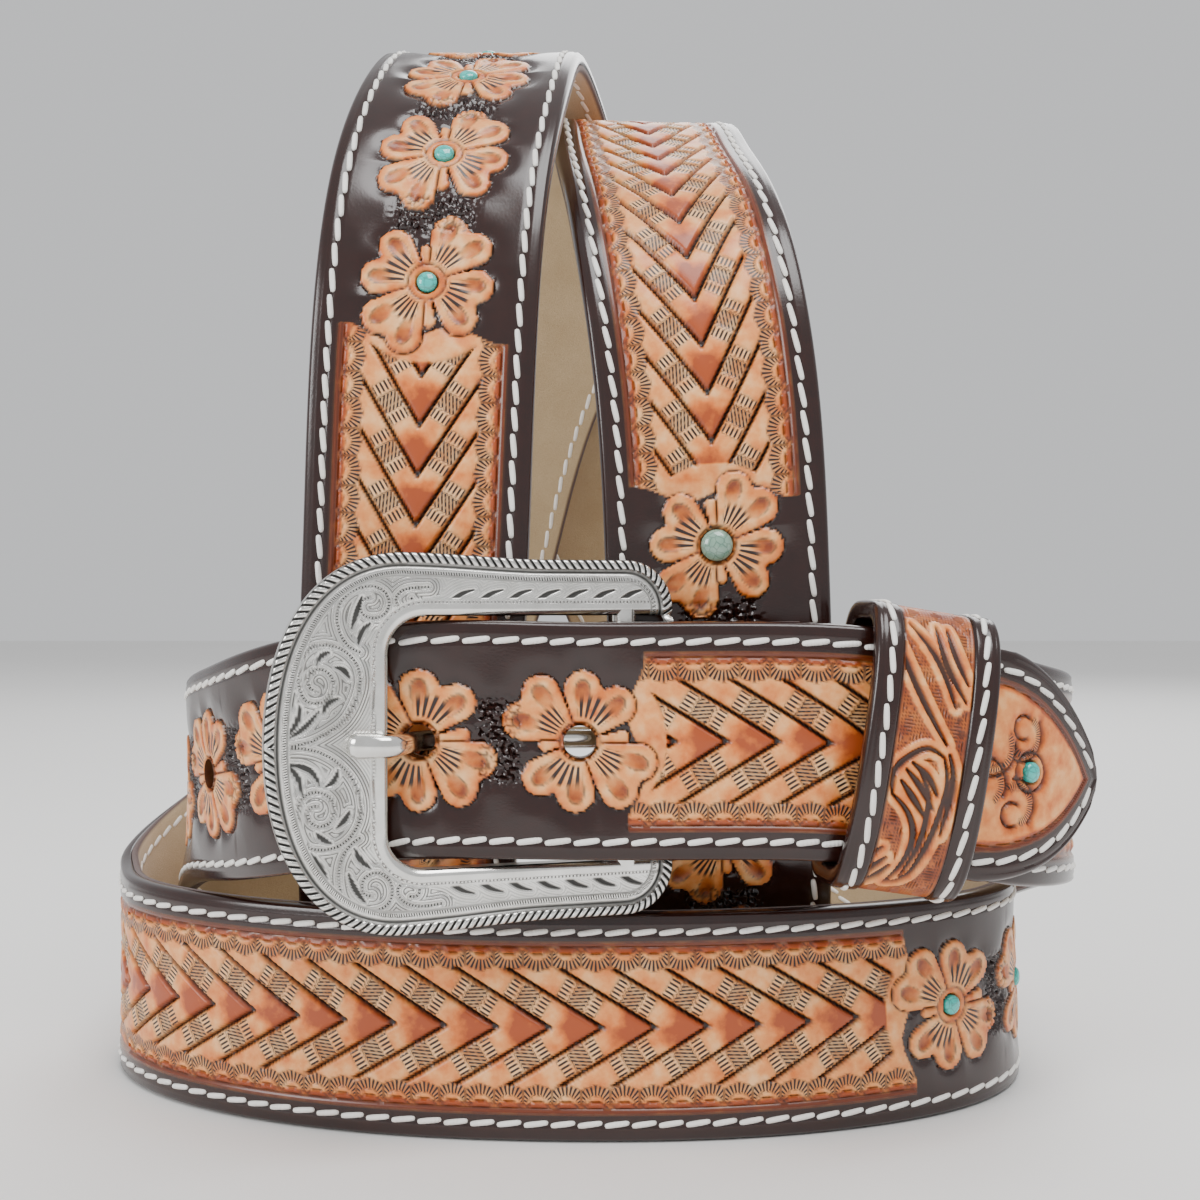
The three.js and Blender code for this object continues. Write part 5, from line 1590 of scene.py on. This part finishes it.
def keeper_loop(outward, turn):
    """Depth towards the face and height across the strap of the keeper's oval."""
    cos, sin = np.cos(turn), np.sin(turn)
    front = STRAP_THICKNESS / 2 + KEEPER_CLEARANCE + KEEPER_BULGE + outward
    back = 1.5 * STRAP_THICKNESS + LAYER_GAP + 2.1 * KEEPER_CLEARANCE + outward
    high = STRAP_WIDTH / 2 + KEEPER_CLEARANCE + outward
    power = np.where(cos > 0, 0.8, 0.3)
    depth = np.where(cos > 0, front, back)
    return np.stack([depth * np.sign(cos) * np.abs(cos) ** power,
                     high * np.sign(sin) * np.abs(sin) ** power], axis=1)


KEEPER_STEP = 0.28 * fine
dense_turn = np.linspace(-math.pi, math.pi, 6001)
dense = keeper_loop(KEEPER_THICKNESS, dense_turn)
dense_at = path_lengths(dense)
loop_rows = int(dense_at[-1] / KEEPER_STEP)
row_at = np.linspace(0, dense_at[-1], loop_rows + 1)[:-1]
row_turn = np.interp(row_at, dense_at, dense_turn)
up_front = row_at - np.interp(0.0, dense_turn, dense_at)
outer = keeper_loop(KEEPER_THICKNESS, row_turn)
inner = keeper_loop(0.0, row_turn)
half = KEEPER_WIDTH / 2
KEEPER_EDGE = [
    # in from the edge, share of the thickness in from the face
    (0.95, 0.0),
    (0.4, 0.06),
    (0.1, 0.2),
    (0.0, 0.45),
    (0.1, 0.8),
    (0.45, 1.0),
]
edge_part = [(half - inset, share) for inset, share in KEEPER_EDGE]
face_part = [(place, 0.0) for place in np.linspace(-(half - 0.95), half - 0.95, int(76 / fine))[1:-1]]
section = np.array([(-across, share) for across, share in reversed(edge_part)] + face_part + edge_part)
grid_w, grid_up = np.meshgrid(section[:, 0], up_front)
w, up = grid_w.ravel(), grid_up.ravel()
on_face = np.broadcast_to(section[:, 1] == 0, grid_w.shape).ravel()
mark = Tooling(w.size)
zone = 1 - rise(np.abs(w), 5.5, 5.7)
stipple = np.sin(2 * math.pi * (w + up) / 1.06) * np.sin(2 * math.pi * (w - up) / 1.06)
mark.dye = 1 - zone
mark.warm = np.full(w.size, 0.75)
nearest = np.full(w.size, 30.0)
for corners in KEEPER_LEAVES:
    away, at = to_path(w, up, rounded_path(corners))
    whole = path_lengths(np.array(corners))[-1]
    swell = 0.1 + 0.34 * np.sin(math.pi * np.clip(at / whole, 0, 1))
    mark.cut(0.7, zone * (1 - rise(away, swell, swell + 0.28)), 0.95)
    nearest = np.minimum(nearest, away - swell)
leafy = 1 - rise(nearest, 0.9, 1.5)
ground = zone * (1 - leafy)
mark.height -= ground * (0.35 + 0.2 * (stipple > 0.2))
mark.stain_and_shade = np.maximum(mark.stain_and_shade, ground * (0.35 + 0.5 * (stipple > 0.2)))
mark.warm = np.where(leafy * zone > 0.5, 0.25 + 0.45 * np.exp(-np.maximum(nearest, 0) / 0.5), mark.warm)
for across, high, radius in KEEPER_DROPS:
    drop = np.hypot(w - across, up - high)
    mark.cut(0.5, zone * (1 - rise(drop, radius - 0.2, radius)), 0.7)
mark.cut(0.45, hump(np.abs(w), 5.75, 0.4), 0.85)
mark.cut(0.2, hump(np.abs(w), KEEPER_STITCH_ACROSS, 0.7), 0.3)
mark.cut(0.16, hump(np.abs(w), 9.1, 0.3), 0.3)
front_part = np.cos(np.repeat(row_turn, section.shape[0])) > -0.02
mark.height = np.where(on_face & front_part, mark.height, 0.0)
normal = outer - inner
normal /= np.linalg.norm(normal, axis=1)[:, None]
share = section[:, 1][None, :, None]
ring = outer[:, None, :] * (1 - share) + inner[:, None, :] * share
ring = ring + normal[:, None, :] * mark.height.reshape(grid_w.shape)[:, :, None]
origin, face_axis, across_axis, along_axis = keeper_frame
points = (origin + strap_zero
          + ring[:, :, :1] * face_axis + ring[:, :, 1:] * across_axis
          + grid_w[:, :, None] * along_axis)
bm = bmesh.new()
flat_points = points.reshape(-1, 3)
verts = [bm.verts.new(point) for point in flat_points]
ring_count = section.shape[0]
for row in range(loop_rows):
    ahead = (row + 1) % loop_rows
    for column in range(ring_count):
        beside = (column + 1) % ring_count
        bm.faces.new((verts[row * ring_count + column], verts[row * ring_count + beside],
                      verts[ahead * ring_count + beside], verts[ahead * ring_count + column]))
bmesh.ops.recalc_face_normals(bm, faces=bm.faces)
mesh = mesh_from("keeper_loop", bm)
side_shade = np.where(on_face, 0.0, 0.3)
set_marks(mesh, {
    "dye": np.where(on_face, mark.dye, 1.0),
    "stain_and_shade": np.where(on_face, np.maximum(mark.stain_and_shade, side_shade), 0.3),
    "warm": mark.warm,
    "stroke": mark.stroke,
    "phase": mark.phase,
})
write_points(mesh, read_points(mesh))
keeper = leather_piece("keeper_loop", mesh, leather, 60)
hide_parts("keeper")


def keeper_stitches(name, across):
    """Stitches that follow the keeper's oval along one of its borders."""
    mesh = row_of_stitches(-STITCH_SKEW * math.copysign(1, across), FACE_SEGMENTS)
    flat = read_points(mesh)
    reach = dense_at[-1] * 0.30
    middle = np.interp(0.0, dense_turn, dense_at)
    stitch_index = np.floor(flat[:, 0] / STITCH_PITCH - 0.5)
    wanted = int(2 * reach / STITCH_PITCH)
    bm = bmesh.new()
    bm.from_mesh(mesh)
    spare = [vert for vert, number in zip(bm.verts, stitch_index) if number >= wanted]
    bmesh.ops.delete(bm, geom=spare, context="VERTS")
    bm.to_mesh(mesh)
    bm.free()
    flat = read_points(mesh)
    at = middle - reach + flat[:, 0]
    turn = np.interp(at, dense_at, dense_turn)
    base = keeper_loop(KEEPER_THICKNESS, turn)
    out = base - keeper_loop(0.0, turn)
    out /= np.linalg.norm(out, axis=1)[:, None]
    spot = base + out * (flat[:, 2] - 0.06)[:, None]
    placed = (origin + strap_zero + spot[:, :1] * face_axis + spot[:, 1:] * across_axis
              + (across + flat[:, 1])[:, None] * along_axis)
    write_points(mesh, placed)
    leather_piece(name, mesh, thread, 60)


keeper_stitches("keeper_stitches_left", -KEEPER_STITCH_ACROSS)
keeper_stitches("keeper_stitches_right", KEEPER_STITCH_ACROSS)
